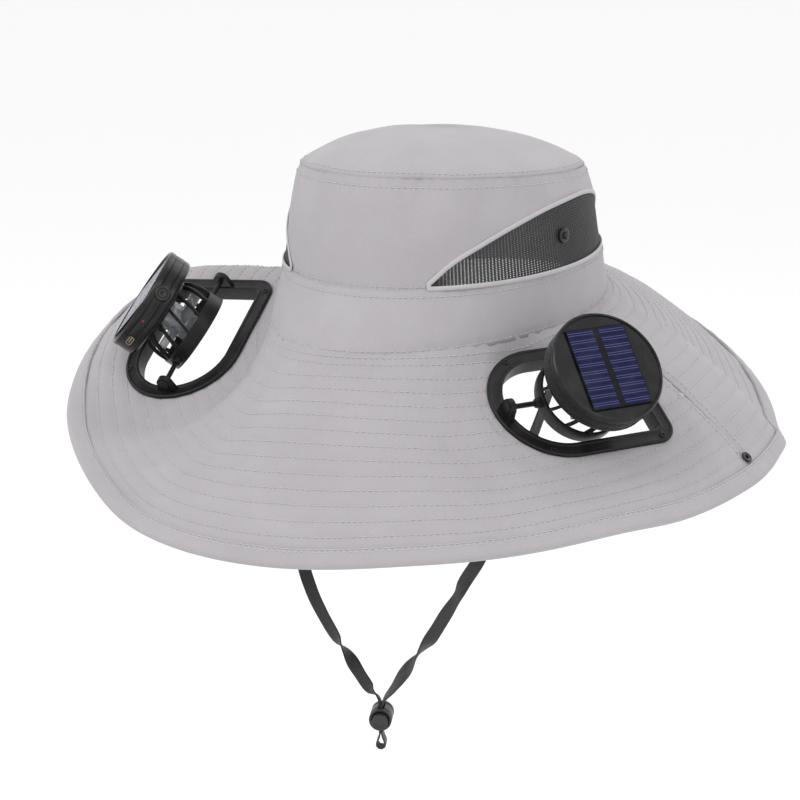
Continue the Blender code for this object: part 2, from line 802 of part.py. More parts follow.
def brim_piece(name, azimuths):
    outer = []
    inner = []
    for share in brim_shares():
        tops = [brim_point(azimuth, share) for azimuth in azimuths]
        ups = [brim_up(azimuth, share) for azimuth in azimuths]
        outer.append(tops)
        inner.append([top - up * BRIM_CLOTH for top, up in zip(tops, ups)])
    piece = shell(name, outer, inner, False, "cloth")
    make_consistent(piece)
    return piece


def front_azimuths():
    first = FRONT_SEAM_LEFT + SEAM_GAP_DEGREES
    last = FRONT_SEAM_RIGHT - SEAM_GAP_DEGREES
    return span_azimuths(first, last, FRONT_COLUMNS)


def back_azimuths():
    first = FRONT_SEAM_RIGHT + SEAM_GAP_DEGREES
    last = FRONT_SEAM_LEFT + 360.0 - SEAM_GAP_DEGREES
    return span_azimuths(first, last, BACK_COLUMNS)


def prism(name, outline, low, high, frame):
    """A straight prism on an outline in the frame's plane."""
    count = len(outline)
    points = [frame @ Vector((x, y, z)) for z in (low, high) for x, y in outline]
    faces = [tuple(range(count))[::-1], tuple(range(count, 2 * count))]
    faces += edge_faces(list(range(count)), [count + place for place in range(count)], True)
    obj = new_object(name, points, faces, "plastic", None, False)
    make_consistent(obj)
    return obj


def circle(radius, steps):
    angles = [2.0 * math.pi * step / steps for step in range(steps)]
    return [(radius * math.cos(angle), radius * math.sin(angle)) for angle in angles]


def flange_outline(offset):
    """The flange's outline, moved out by the offset: a half circle in front and two rounded corners behind."""
    radius = FLANGE_WIDTH / 2.0 + offset
    front = FLANGE_LENGTH / 2.0 - FLANGE_WIDTH / 2.0
    back = -FLANGE_LENGTH / 2.0 - offset
    corner = max(FLANGE_CORNER + offset, 2.0 * MM)
    outline = []
    for step in range(OUTLINE_ROUND_STEPS + 1):
        angle = -math.pi / 2.0 + math.pi * step / OUTLINE_ROUND_STEPS
        outline.append((front + radius * math.cos(angle), radius * math.sin(angle)))
    for side, start in ((1.0, math.pi / 2.0), (-1.0, math.pi)):
        for step in range(OUTLINE_CORNER_STEPS + 1):
            angle = start + math.pi / 2.0 * step / OUTLINE_CORNER_STEPS
            x = back + corner + corner * math.cos(angle)
            y = side * (radius - corner) + corner * math.sin(angle)
            outline.append((x, y))
    return outline


def opening_offset(extra):
    return -FLANGE_RIM + extra


def cut_fan_opening(piece, frame):
    outline = flange_outline(opening_offset(COLLAR_WALL + 2.0 * GAP))
    combine(piece, prism("opening_cutter", outline, -OPENING_CUT_REACH, OPENING_CUT_REACH, frame), "DIFFERENCE")


def snap_frame(azimuth):
    top = brim_point(azimuth, SNAP_SHARE)
    up = brim_up(azimuth, SNAP_SHARE)
    along = (brim_point(azimuth + 1.0, SNAP_SHARE) - top).normalized()
    across = up.cross(along).normalized()
    along = across.cross(up)
    frame = Matrix((along, across, up)).transposed().to_4x4()
    frame.translation = top
    return frame


def cut_snap_hole(piece, azimuth):
    frame = snap_frame(azimuth)
    radius = SNAP_TUBE_RADIUS + GAP
    combine(piece, prism("snap_cutter", circle(radius, SNAP_STEPS), -CUT_REACH, CUT_REACH, frame), "DIFFERENCE")


def build_brim():
    front = brim_piece("brim_front", front_azimuths())
    for frame in SEAT_FRAMES:
        cut_fan_opening(front, frame)
    back = brim_piece("brim_back", back_azimuths())
    for piece in (front, back):
        for azimuth in (FRONT_SEAM_LEFT, FRONT_SEAM_RIGHT):
            cut_snap_hole(piece, azimuth)


def build_binding():
    """A folded tape round the brim's edge: above, round and below the cloth."""
    azimuths = front_azimuths() + back_azimuths()
    width = BINDING_WIDTH / BRIM_WIDTH
    above = BINDING_GAP
    below = -BRIM_CLOTH - BINDING_GAP
    loops = [[] for _ in range(8)]
    for azimuth in azimuths:
        near = brim_point(azimuth, 1.0 - width)
        near_up = brim_up(azimuth, 1.0 - width)
        edge = brim_point(azimuth, 1.0)
        edge_up = brim_up(azimuth, 1.0)
        out = (edge - near).normalized()
        outer = edge + out * (BINDING_GAP + BINDING_CLOTH)
        slot = edge + out * BINDING_GAP
        loops[0].append(near + near_up * above)
        loops[1].append(near + near_up * (above + BINDING_CLOTH))
        loops[2].append(outer + edge_up * (above + BINDING_CLOTH * 0.6))
        loops[3].append(outer + edge_up * (below - BINDING_CLOTH * 0.6))
        loops[4].append(near + near_up * (below - BINDING_CLOTH))
        loops[5].append(near + near_up * below)
        loops[6].append(slot + edge_up * below)
        loops[7].append(slot + edge_up * above)
    ring_of_loops("brim_binding", loops, "cloth")


def build_snaps():
    top = SNAP_LIFT
    bottom = -BRIM_CLOTH - SNAP_LIFT
    profile = (
        (SNAP_BORE, top + SNAP_CAP * 0.7),
        (SNAP_BORE, bottom - SNAP_CAP * 0.7),
        (SNAP_RADIUS * 0.8, bottom - SNAP_CAP),
        (SNAP_RADIUS, bottom - SNAP_CAP * 0.5),
        (SNAP_RADIUS, bottom),
        (SNAP_TUBE_RADIUS, bottom),
        (SNAP_TUBE_RADIUS, top),
        (SNAP_RADIUS, top),
        (SNAP_RADIUS, top + SNAP_CAP * 0.5),
        (SNAP_RADIUS * 0.8, top + SNAP_CAP),
    )
    turned_ring("snap_left", profile, "plastic", snap_frame(FRONT_SEAM_LEFT), None, SNAP_STEPS)
    turned_ring("snap_right", profile, "plastic", snap_frame(FRONT_SEAM_RIGHT), None, SNAP_STEPS)


# The fans

def hinge_frame(frame):
    """The hinge's own frame on the flange, level with the seat."""
    return frame @ Matrix.Translation((0.0, HINGE_OFFSET, HINGE_HEIGHT))


def tilt_frame(seat, frame):
    """The fan's frame: origin on the hinge axis, x along it, z along the fan's own axis."""
    tilt = Matrix.Rotation(math.radians(seat_value(seat, "tilt") * seat_value(seat, "tilt_sign")), 4, "X")
    turned = Matrix.Rotation(math.radians(seat_value(seat, "turned")), 4, "Z")
    return hinge_frame(frame) @ tilt @ turned


def ear_outline():
    """An ear from the flange up round the hinge pin, as (across, height)."""
    half = EAR_WIDTH / 2.0
    top = EAR_ABOVE_HINGE
    outline = [(-half, -HINGE_HEIGHT + GAP + 1.0 * MM), (half, -HINGE_HEIGHT + GAP + 1.0 * MM)]
    for step in range(7):
        angle = math.pi * step / 6
        outline.append((top * math.cos(angle), top * math.sin(angle)))
    return outline


def build_flange(side, frame):
    top = GAP + FLANGE_THICKNESS
    section = (
        (0.0, -COLLAR_DEPTH),
        (COLLAR_WALL, -COLLAR_DEPTH),
        (COLLAR_WALL, GAP),
        (FLANGE_RIM, GAP),
        (FLANGE_RIM, GAP + FLANGE_THICKNESS - FLANGE_BEVEL),
        (FLANGE_RIM - FLANGE_BEVEL, top),
        (FLANGE_BEVEL * 0.6, top),
        (0.0, top - FLANGE_BEVEL * 0.6),
    )
    loops = []
    for offset, height in section:
        loops.append([frame @ Vector((x, y, height)) for x, y in flange_outline(opening_offset(offset))])
    flange = ring_of_loops("flange_" + side, loops, "plastic")
    hinge = hinge_frame(frame)
    inner_end = FLANGE_LENGTH / 2.0 - FLANGE_RIM
    for direction in (1.0, -1.0):
        start = direction * (inner_end + EAR_INSET)
        stand = hinge @ Matrix.Translation((start, 0.0, 0.0)) @ Matrix.Rotation(direction * math.pi / 2.0, 4, "Y")
        stand = stand @ Matrix.Rotation(direction * math.pi / 2.0, 4, "Z")
        combine(flange, prism("ear", ear_outline(), 0.0, EAR_THICKNESS, stand), "UNION")
    bore = hinge @ Matrix.Rotation(math.pi / 2.0, 4, "Y")
    hole = circle(PIN_RADIUS + GAP, PIN_STEPS)
    combine(flange, prism("pin_hole", hole, -FLANGE_LENGTH / 2.0, FLANGE_LENGTH / 2.0, bore), "DIFFERENCE")


def build_clamp(side, frame):
    top = -BRIM_CLOTH - GAP
    inner = COLLAR_WALL + GAP
    outer = FLANGE_RIM - CLAMP_INSET
    section = (
        (inner, top),
        (inner, top - CLAMP_THICKNESS),
        (outer, top - CLAMP_THICKNESS),
        (outer, top),
    )
    loops = []
    for offset, height in section:
        loops.append([frame @ Vector((x, y, height)) for x, y in flange_outline(opening_offset(offset))])
    ring_of_loops("clamp_ring_" + side, loops, "plastic", None, False)


def rib_points(hinge, angle):
    """The corners along one rib, four at each point of its line."""
    loops = []
    last = len(RIB_LINE) - 1
    for place, (radius, height) in enumerate(RIB_LINE):
        turn = angle + math.radians(RIB_SWEEP) * place / last
        radial = Vector((math.cos(turn), math.sin(turn), 0.0))
        side = Vector((-math.sin(turn), math.cos(turn), 0.0))
        before = RIB_LINE[max(place - 1, 0)]
        after = RIB_LINE[min(place + 1, last)]
        run = Vector((after[0] - before[0], after[1] - before[1])).normalized()
        thick = (radial * run.y - Vector((0.0, 0.0, 1.0)) * run.x) * (RIB_DEPTH / 2.0)
        middle = radial * radius + Vector((0.0, 0.0, height))
        half = side * (RIB_WIDTH / 2.0)
        corners = (middle - half - thick, middle + half - thick, middle + half + thick, middle - half + thick)
        loops.append([hinge @ corner for corner in corners])
    return loops


def build_ribs(hinge):
    points = []
    faces = []
    for rib in range(RIB_COUNT):
        first = len(points)
        loops = rib_points(hinge, 2.0 * math.pi * (rib + 0.5) / RIB_COUNT)
        for loop in loops:
            points += loop
        faces += grid_faces(len(loops), 4, True, first)
        faces.append((first + 3, first + 2, first + 1, first))
        end = first + 4 * (len(loops) - 1)
        faces.append((end, end + 1, end + 2, end + 3))
    ribs = new_object("ribs", points, faces, "plastic", None, False)
    make_consistent(ribs)
    return ribs


def build_cage(side, hinge):
    half = BAND_HEIGHT / 2.0
    inner = BAND_RADIUS - BAND_WALL
    band = ((inner, -half), (BAND_RADIUS, -half), (BAND_RADIUS, half), (inner, half))
    cage = turned_ring("cage_" + side, band, "plastic", hinge, hinge)
    combine(cage, build_ribs(hinge), "UNION")
    plate = (
        (0.0, AXLE_BOTTOM),
        (AXLE_RADIUS, AXLE_BOTTOM),
        (AXLE_RADIUS, PLATE_BOTTOM),
        (PLATE_RADIUS, PLATE_BOTTOM),
        (PLATE_RADIUS, PLATE_TOP),
        (0.0, PLATE_TOP),
    )
    combine(cage, lathe("plate", plate, "plastic", hinge, None, ROUND_STEPS), "UNION")
    reach = FLANGE_LENGTH / 2.0 - FLANGE_RIM + EAR_INSET + EAR_THICKNESS - 0.4 * MM
    for direction in (0.0, math.pi):
        turn = hinge @ Matrix.Rotation(direction, 4, "Z") @ Matrix.Rotation(math.pi / 2.0, 4, "Y")
        profile = ((0.0, inner + 0.4 * MM), (PIN_RADIUS, inner + 0.4 * MM), (PIN_RADIUS, reach), (0.0, reach))
        combine(cage, lathe("pin", profile, "plastic", turn, None, PIN_STEPS), "UNION")


def puck_levels():
    bottom = PLATE_TOP + GAP
    return bottom, bottom + PUCK_THICKNESS


def button_frame(hinge):
    """The power button's frame: origin on the puck's side, z outwards along the button's travel."""
    bottom, top = puck_levels()
    turn = Matrix.Rotation(math.radians(BUTTON_ANGLE), 4, "Z")
    out = Matrix.Translation((PUCK_RADIUS, 0.0, (bottom + top) / 2.0)) @ Matrix.Rotation(math.pi / 2.0, 4, "Y")
    return hinge @ turn @ out


def build_puck(side, hinge):
    bottom, top = puck_levels()
    profile = (
        (0.0, bottom),
        (PUCK_RADIUS - PUCK_CHAMFER, bottom),
        (PUCK_RADIUS, bottom + PUCK_CHAMFER),
        (PUCK_RADIUS, top - PUCK_CHAMFER * 0.6),
        (PUCK_RADIUS - PUCK_CHAMFER * 0.6, top),
        (PUCK_RADIUS - PUCK_RIM, top),
        (PUCK_RADIUS - PUCK_RIM, top - PUCK_RECESS),
        (0.0, top - PUCK_RECESS),
    )
    puck = lathe("puck_" + side, profile, "plastic", hinge, hinge, PUCK_STEPS)
    well = (
        (0.0, -BUTTON_DEPTH - BUTTON_TRAVEL - 2.0 * GAP),
        (BUTTON_RADIUS + GAP, -BUTTON_DEPTH - BUTTON_TRAVEL - 2.0 * GAP),
        (BUTTON_RADIUS + GAP, CUT_REACH),
        (0.0, CUT_REACH),
    )
    combine(puck, lathe("well", well, "plastic", button_frame(hinge), None, SMALL_STEPS), "DIFFERENCE")
    half = (USB_WIDTH / 2.0 + GAP, USB_HEIGHT / 2.0 + GAP)
    middle = (bottom + top) / 2.0
    slot = hinge @ Matrix.Rotation(math.radians(USB_ANGLE), 4, "Z")
    low = (PUCK_RADIUS - USB_DEPTH - GAP, -half[0], middle - half[1])
    high = (PUCK_RADIUS + CUT_REACH, half[0], middle + half[1])
    combine(puck, box("usb_slot", low, high, "plastic", slot), "DIFFERENCE")


def build_usb(side, hinge):
    """The charging socket's metal frame, open to the outside."""
    bottom, top = puck_levels()
    middle = (bottom + top) / 2.0
    slot = hinge @ Matrix.Rotation(math.radians(USB_ANGLE), 4, "Z")
    loops = []
    near = math.sqrt(PUCK_RADIUS ** 2 - (USB_WIDTH / 2.0) ** 2)
    far = PUCK_RADIUS - USB_DEPTH
    for depth, wall in ((near, 0.0), (far, 0.0), (far, USB_WALL), (near, USB_WALL)):
        half = (USB_WIDTH / 2.0 - wall, USB_HEIGHT / 2.0 - wall)
        corners = ((-1.0, -1.0), (1.0, -1.0), (1.0, 1.0), (-1.0, 1.0))
        loops.append([slot @ Vector((depth, half[0] * y, middle + half[1] * z)) for y, z in corners])
    ring_of_loops("usb_socket_" + side, loops, "metal", hinge, False)


def build_panel(side, hinge):
    top = puck_levels()[1]
    base = top - PUCK_RECESS + GAP
    half = (PANEL_WIDTH / 2.0, PANEL_LENGTH / 2.0)
    low = (-half[0], -half[1], base)
    high = (half[0], half[1], base + PANEL_THICKNESS)
    box("solar_panel_" + side, low, high, "panel", hinge, hinge)


def build_button(side, hinge):
    frame = button_frame(hinge)
    profile = (
        (0.0, -BUTTON_DEPTH),
        (BUTTON_RADIUS, -BUTTON_DEPTH),
        (BUTTON_RADIUS, BUTTON_PROUD * 0.5),
        (BUTTON_RADIUS * 0.88, BUTTON_PROUD),
        (BUTTON_RADIUS * 0.45, BUTTON_PROUD),
        (0.0, BUTTON_PROUD * 0.5),
    )
    lathe("power_button_" + side, profile, "plastic", frame, frame, SMALL_STEPS)


def blade_loops(hinge, angle):
    """One blade as loops of four corners from the hub out to its tip."""
    loops = []
    start = ROTOR_HUB_RADIUS - 1.0 * MM
    for step in range(BLADE_STEPS + 1):
        share = step / BLADE_STEPS
        radius = start + (ROTOR_RADIUS - start) * share
        chord = (ROTOR_TOP - ROTOR_BOTTOM) * (0.40 + 0.12 * share)
        pitch = math.radians(BLADE_TWIST - 12.0 * share)
        turn = angle + 0.35 * share
        radial = Vector((math.cos(turn), math.sin(turn), 0.0))
        side = Vector((-math.sin(turn), math.cos(turn), 0.0))
        along = side * math.cos(pitch) + Vector((0.0, 0.0, 1.0)) * math.sin(pitch)
        thick = side * -math.sin(pitch) + Vector((0.0, 0.0, 1.0)) * math.cos(pitch)
        middle = radial * radius + Vector((0.0, 0.0, (ROTOR_TOP + ROTOR_BOTTOM) / 2.0))
        half = along * (chord / 2.0)
        wide = thick * (BLADE_THICKNESS / 2.0)
        corners = (middle - half - wide, middle + half - wide, middle + half + wide, middle - half + wide)
        loops.append([hinge @ corner for corner in corners])
    return loops


def build_rotor(side, hinge):
    profile = (
        (0.0, ROTOR_BOTTOM),
        (ROTOR_HUB_RADIUS * 0.8, ROTOR_BOTTOM),
        (ROTOR_HUB_RADIUS, ROTOR_BOTTOM + 1.5 * MM),
        (ROTOR_HUB_RADIUS, ROTOR_TOP),
        (AXLE_RADIUS + GAP, ROTOR_TOP),
        (AXLE_RADIUS + GAP, ROTOR_BORE_BOTTOM),
        (0.0, ROTOR_BORE_BOTTOM),
    )
    rotor = lathe("rotor_" + side, profile, "clear", hinge, hinge, HUB_STEPS)
    points = []
    faces = []
    for blade in range(BLADE_COUNT):
        first = len(points)
        loops = blade_loops(hinge, 2.0 * math.pi * blade / BLADE_COUNT)
        for loop in loops:
            points += loop
        faces += grid_faces(len(loops), 4, True, first)
        faces.append((first + 3, first + 2, first + 1, first))
        end = first + 4 * (len(loops) - 1)
        faces.append((end, end + 1, end + 2, end + 3))
    blades = new_object("blades", points, faces, "clear", None, False)
    make_consistent(blades)
    combine(rotor, blades, "UNION")


def build_fans():
    for seat, frame in zip(FAN_SEATS, SEAT_FRAMES):
        side = seat_value(seat, "side")
        hinge = tilt_frame(seat, frame)
        build_flange(side, frame)
        build_clamp(side, frame)
        build_cage(side, hinge)
        build_puck(side, hinge)
        build_usb(side, hinge)
        build_panel(side, hinge)
        build_button(side, hinge)
        build_rotor(side, hinge)


# The crown's studs

def stud_point(side):
    """The middle of the net's opening that the stud goes through, on the crown's outer face."""
    grid = window_grid(1.0, NET_COLUMNS, NET_ROWS, 0.0, NET_EDGE_GAP)
    corners = []
    for row in (STUD_CELL_ROW, STUD_CELL_ROW + 1):
        corners += grid[row][STUD_CELL_COLUMN:STUD_CELL_COLUMN + 2]
    middle = sum(corners, Vector()) / 4.0
    return Vector((side * middle.x, middle.y, middle.z))


def build_stud(side):
    """A snap stud through the net, with a cap outside and a washer inside."""
    point = stud_point(side)
    outward = Vector((point.x, point.y, 0.0)).normalized()
    along = Vector((0.0, 0.0, 1.0)).cross(outward)
    frame = Matrix((along, outward.cross(along), outward)).transposed().to_4x4()
    frame.translation = point
    outside = 0.9 * MM
    inside = -NET_THICKNESS - 1.3 * MM
    profile = (
        (0.0, inside - 0.8 * MM),
        (STUD_RADIUS, inside - 0.8 * MM),
        (STUD_RADIUS, inside),
        (STUD_SHANK, inside),
        (STUD_SHANK, outside),
        (STUD_RADIUS, outside),
        (STUD_RADIUS, outside + 0.7 * MM),
        (STUD_RADIUS * 0.5, outside + 1.3 * MM),
        (STUD_RADIUS * 0.45, outside + 2.4 * MM),
        (0.0, outside + 2.4 * MM),
    )
    lathe("crown_stud_" + ("right" if side > 0 else "left"), profile, "plastic", frame, None, SMALL_STEPS)


# The chin strap and its lock

def lock_frame():
    """The lock's frame: z along the plunger, out of its face, and y up along the strap."""
    turn = Matrix.Rotation(math.radians(LOCK_TURN), 4, "Z")
    lay = Matrix.Rotation(math.pi / 2.0, 4, "X")
    return Matrix.Translation(LOCK_CENTRE) @ turn @ lay


def build_lock():
    frame = lock_frame()
    profile = (
        (0.0, -LOCK_BACK),
        (LOCK_RADIUS * 0.86, -LOCK_BACK),
        (LOCK_RADIUS, -LOCK_BACK + 1.0 * MM),
        (LOCK_RADIUS, LOCK_FRONT - 0.8 * MM),
        (LOCK_RADIUS - 0.8 * MM, LOCK_FRONT),
        (PLUNGER_RADIUS + GAP, LOCK_FRONT),
        (PLUNGER_RADIUS + GAP, -LOCK_BACK + LOCK_WALL),
        (0.0, -LOCK_BACK + LOCK_WALL),
    )
    body = lathe("cord_lock_body", profile, "plastic", frame, None, LOCK_STEPS)
    half = STRAP_SLOT / 2.0
    reach = STRAP_WIDTH / 2.0 + GAP
    past = LOCK_RADIUS + CUT_REACH
    slot = box("lock_slot", (-half, -past, -reach), (half, past, reach), "plastic", frame)
    combine(body, slot, "DIFFERENCE")
    plunger_end = -LOCK_BACK + LOCK_WALL + GAP + PLUNGER_TRAVEL
    plunger_profile = (
        (0.0, plunger_end),
        (PLUNGER_RADIUS, plunger_end),
        (PLUNGER_RADIUS, LOCK_FRONT + PLUNGER_PROUD - 0.8 * MM),
        (PLUNGER_RADIUS - 0.8 * MM, LOCK_FRONT + PLUNGER_PROUD),
        (0.0, LOCK_FRONT + PLUNGER_PROUD),
    )
    plunger = lathe("cord_lock_plunger", plunger_profile, "plastic", frame, frame, LOCK_STEPS)
    low = (-half, -past, -reach)
    high = (half, past, reach + PLUNGER_TRAVEL)
    combine(plunger, box("plunger_slot", low, high, "plastic", frame), "DIFFERENCE")


def strap_line():
    """The strap's middle line and the turn of its width, as (point, turn) from the left end to the right."""
    centre = Vector(LOCK_CENTRE)
    knots = []
    for out, forward, down, turn in STRAP_LEFT:
        knots.append((Vector((-out, -forward, -down)), turn))
    half_gap = STRAP_RUN_GAP / 2.0
    across = Vector((math.cos(math.radians(LOCK_TURN)), math.sin(math.radians(LOCK_TURN)), 0.0))
    width_turn = LOCK_TURN - 270.0
    up = Vector((0.0, 0.0, 1.0))
    knots.append((centre - across * half_gap + up * LOCK_MOUTH, width_turn))
    knots.append((centre - across * half_gap - up * LOCK_RADIUS, width_turn))
    knots.append((centre - across * half_gap - up * TAIL_NECK, width_turn))
    for angle in (-100.0, -60.0, 0.0, 60.0, 100.0):
        turned = math.radians(angle)
        bulb = centre - up * (TAIL_LENGTH - TAIL_BULB)
        bulb += (across * math.sin(turned) - up * math.cos(turned)) * TAIL_BULB
        knots.append((bulb, width_turn))
    knots.append((centre + across * half_gap - up * TAIL_NECK, width_turn))
    knots.append((centre + across * half_gap - up * LOCK_RADIUS, width_turn))
    knots.append((centre + across * half_gap + up * LOCK_MOUTH, width_turn))
    for out, forward, down, turn in reversed(STRAP_RIGHT):
        knots.append((Vector((out, -forward, -down)), turn))
    return knots


def build_strap():
    knots = strap_line()
    lengths = [0.0]
    for before, after in zip(knots, knots[1:]):
        lengths.append(lengths[-1] + (after[0] - before[0]).length)
    curves = [open_curve(lengths, [knot[0][axis] for knot in knots]) for axis in range(3)]
    turns = open_curve(lengths, [knot[1] for knot in knots])
    total = lengths[-1]
    places = [total * step / STRAP_POINTS for step in range(STRAP_POINTS + 1)]
    line = [Vector((curves[0](place), curves[1](place), curves[2](place))) for place in places]
    loops = []
    for step, place in enumerate(places):
        run = (line[min(step + 1, STRAP_POINTS)] - line[max(step - 1, 0)]).normalized()
        turn = math.radians(turns(place))
        wide = Vector((math.cos(turn), math.sin(turn), 0.0))
        wide = (wide - run * wide.dot(run)).normalized()
        thin = run.cross(wide)
        half = wide * (STRAP_WIDTH / 2.0)
        deep = thin * (STRAP_THICKNESS / 2.0)
        middle = line[step]
        loops.append([middle - half - deep, middle + half - deep, middle + half + deep, middle - half + deep])
    points = [corner for loop in loops for corner in loop]
    faces = grid_faces(len(loops), 4, True)
    end = 4 * (len(loops) - 1)
    faces += [(3, 2, 1, 0), (end, end + 1, end + 2, end + 3)]
    strap = new_object("chin_strap", points, faces, "strap")
    make_consistent(strap)


clear_scene()
build_crown_band()
build_crown_wall()
build_crown_tip()
for net_side in (-1.0, 1.0):
    build_net(net_side)
    build_stud(net_side)
build_brim()
build_binding()
build_snaps()
build_fans()
build_lock()
build_strap()
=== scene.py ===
"""A wide-brimmed cloth sun hat with two tilting solar fans in its brim and a chin strap with a cord lock.

Metres, +Z up, the hat's front towards -Y, as worn.
"""

import math

import bmesh
import bpy
import numpy as np
from mathutils import Matrix, Vector, noise


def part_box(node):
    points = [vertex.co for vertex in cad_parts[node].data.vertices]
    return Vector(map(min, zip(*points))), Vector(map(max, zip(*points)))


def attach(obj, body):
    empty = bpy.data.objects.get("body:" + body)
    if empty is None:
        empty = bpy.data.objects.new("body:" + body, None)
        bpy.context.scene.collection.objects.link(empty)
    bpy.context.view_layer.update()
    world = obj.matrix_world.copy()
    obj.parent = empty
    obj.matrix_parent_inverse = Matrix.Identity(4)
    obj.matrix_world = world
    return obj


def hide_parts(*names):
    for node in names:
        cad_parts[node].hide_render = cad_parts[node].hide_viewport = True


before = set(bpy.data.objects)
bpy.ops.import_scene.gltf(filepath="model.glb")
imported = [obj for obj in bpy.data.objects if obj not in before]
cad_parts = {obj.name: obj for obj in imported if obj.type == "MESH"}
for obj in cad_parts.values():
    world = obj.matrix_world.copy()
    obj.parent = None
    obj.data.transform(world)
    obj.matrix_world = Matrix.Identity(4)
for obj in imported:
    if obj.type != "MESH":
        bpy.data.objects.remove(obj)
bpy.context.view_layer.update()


# The studio: a plain pale floor well below the strap's tail and large soft lamps all round. The camera
# stands a third of the way round from the hat's front, a little above it, as the photographer's did.
MM = 0.001
CAMERA_PLACE = (0.6532, -0.9391, 0.2280)
CAMERA_TURN = (76.0, 0.0, 36.0)
CAMERA_LENS = 94.5
FLOOR_HEIGHT = -0.62
FLOOR_REACH = 15.0
FLOOR_COLOUR = (0.97, 0.97, 0.97)
SKY_COLOUR = (1.0, 1.0, 1.0, 1.0)
SKY_STRENGTH = 0.98
# Name, place, width and power of each lamp
LAMPS = (
    ("key_lamp", (-0.7, -1.6, 1.9), 1.4, 18.0),
    ("side_lamp", (1.9, -0.5, 1.2), 1.2, 6.0),
    ("back_lamp", (0.2, 1.9, 1.5), 1.5, 6.0),
)


def new_material(name, base=(0.5, 0.5, 0.5), roughness=0.5, **sockets):
    """A material with its own Principled shader. The other sockets go by their names with _ for a space."""
    material = bpy.data.materials.new(name)
    material.use_nodes = True
    shader = material.node_tree.nodes["Principled BSDF"]
    shader.inputs["Base Color"].default_value = (*base, 1.0)
    shader.inputs["Roughness"].default_value = roughness
    for socket, value in sockets.items():
        shader.inputs[socket.replace("_", " ")].default_value = value
    return material


def place_object(name, mesh, material, placed=None):
    obj = bpy.data.objects.new(name, mesh)
    bpy.context.scene.collection.objects.link(obj)
    if placed is not None:
        obj.matrix_world = placed
    for each in material if isinstance(material, (list, tuple)) else [material]:
        mesh.materials.append(each)
    return obj


floor_mesh = bpy.data.meshes.new("floor")
floor_mesh.from_pydata(
    [(x, y, FLOOR_HEIGHT) for x, y in ((-FLOOR_REACH, -FLOOR_REACH), (FLOOR_REACH, -FLOOR_REACH),
                                       (FLOOR_REACH, FLOOR_REACH), (-FLOOR_REACH, FLOOR_REACH))],
    [], [(0, 1, 2, 3)])
floor = place_object("floor", floor_mesh, new_material("floor_paint", FLOOR_COLOUR, 0.9))

sky = bpy.data.worlds.new("soft_sky")
sky.use_nodes = True
sky.node_tree.nodes["Background"].inputs["Color"].default_value = SKY_COLOUR
sky.node_tree.nodes["Background"].inputs["Strength"].default_value = SKY_STRENGTH
bpy.context.scene.world = sky
bpy.context.scene.view_settings.view_transform = "Standard"

for lamp_name, lamp_place, lamp_width, lamp_power in LAMPS:
    lamp_data = bpy.data.lights.new(lamp_name, "AREA")
    lamp_data.size = lamp_width
    lamp_data.energy = lamp_power
    lamp = bpy.data.objects.new(lamp_name, lamp_data)
    bpy.context.scene.collection.objects.link(lamp)
    lamp.location = lamp_place
    lamp.rotation_euler = (-Vector(lamp_place)).to_track_quat("-Z", "Y").to_euler()

camera_data = bpy.data.cameras.new("camera")
camera_data.lens = CAMERA_LENS
camera = bpy.data.objects.new("camera", camera_data)
bpy.context.scene.collection.objects.link(camera)
camera.location = CAMERA_PLACE
camera.rotation_euler = [math.radians(turn) for turn in CAMERA_TURN]
bpy.context.scene.camera = camera


# The chin strap: one flat black ribbon of woven polyester, sewn inside the crown at both sides. It hangs
# under its own weight with a half twist in each side, runs double through the cord lock, and is turned
# back in a small loop below it.
STRAP_WIDTH = 7.4 * MM
STRAP_THICKNESS = 1.0 * MM
STRAP_STATIONS = 300
STRAP_RUN_GAP = 1.4 * MM
STRAP_RIB_PITCH = 0.9 * MM
LOCK_CENTRE = Vector((-2.0 * MM, -55.0 * MM, -229.0 * MM))
LOCK_TURN = 30.0
LOCK_RADIUS = 6.4 * MM
LOCK_MOUTH = 7.8 * MM
TAIL_NECK = 10.5 * MM
TAIL_LENGTH = 18.5 * MM
TAIL_BULB = 2.5 * MM
# Half of the strap, from its sewn end to the lock: millimetres out, forward and down, and the ribbon's turn
STRAP_LEFT = (
    (81.9, 2.0, -7.0, 90.0), (81.9, 2.0, 1.0, 90.0), (80.2, 7.0, 26.0, 88.0), (76.6, 20.0, 62.0, 80.0),
    (71.0, 37.0, 105.0, 62.0), (61.0, 50.0, 150.0, 32.0), (52.0, 54.0, 165.0, 20.0), (43.5, 55.0, 177.0, 8.0),
    (33.0, 55.0, 190.0, -8.0), (26.5, 55.0, 196.0, -78.0), (19.5, 55.0, 204.5, -160.0),
    (10.5, 55.0, 214.0, -178.0), (4.6, 55.0, 217.5, -226.0),
)
STRAP_RIGHT = (
    (81.9, 2.0, -7.0, -270.0), (81.9, 2.0, 1.0, -270.0), (80.2, 7.0, 24.0, -272.0), (76.2, 21.0, 56.0, -280.0),
    (70.5, 39.0, 92.0, -298.0), (61.4, 53.0, 125.0, -332.0), (53.5, 55.0, 139.0, -350.0),
    (49.0, 55.0, 148.0, -384.0), (41.0, 55.0, 160.5, -356.0), (33.0, 55.0, 173.5, -348.0),
    (25.5, 55.0, 184.0, -274.0), (15.5, 55.0, 197.5, -192.0), (6.5, 55.0, 210.0, -215.0),
)
# The ribbon's section, as shares of half its width and of half its thickness: thin middle, firm edges
RIBBON_SECTION = (
    (-1.0, 0.0), (-0.97, -0.8), (-0.88, -1.0), (-0.5, -0.8), (0.0, -0.75), (0.5, -0.8), (0.88, -1.0),
    (0.97, -0.8), (1.0, 0.0), (0.97, 0.8), (0.88, 1.0), (0.5, 0.8), (0.0, 0.75), (-0.5, 0.8), (-0.88, 1.0),
    (-0.97, 0.8),
)


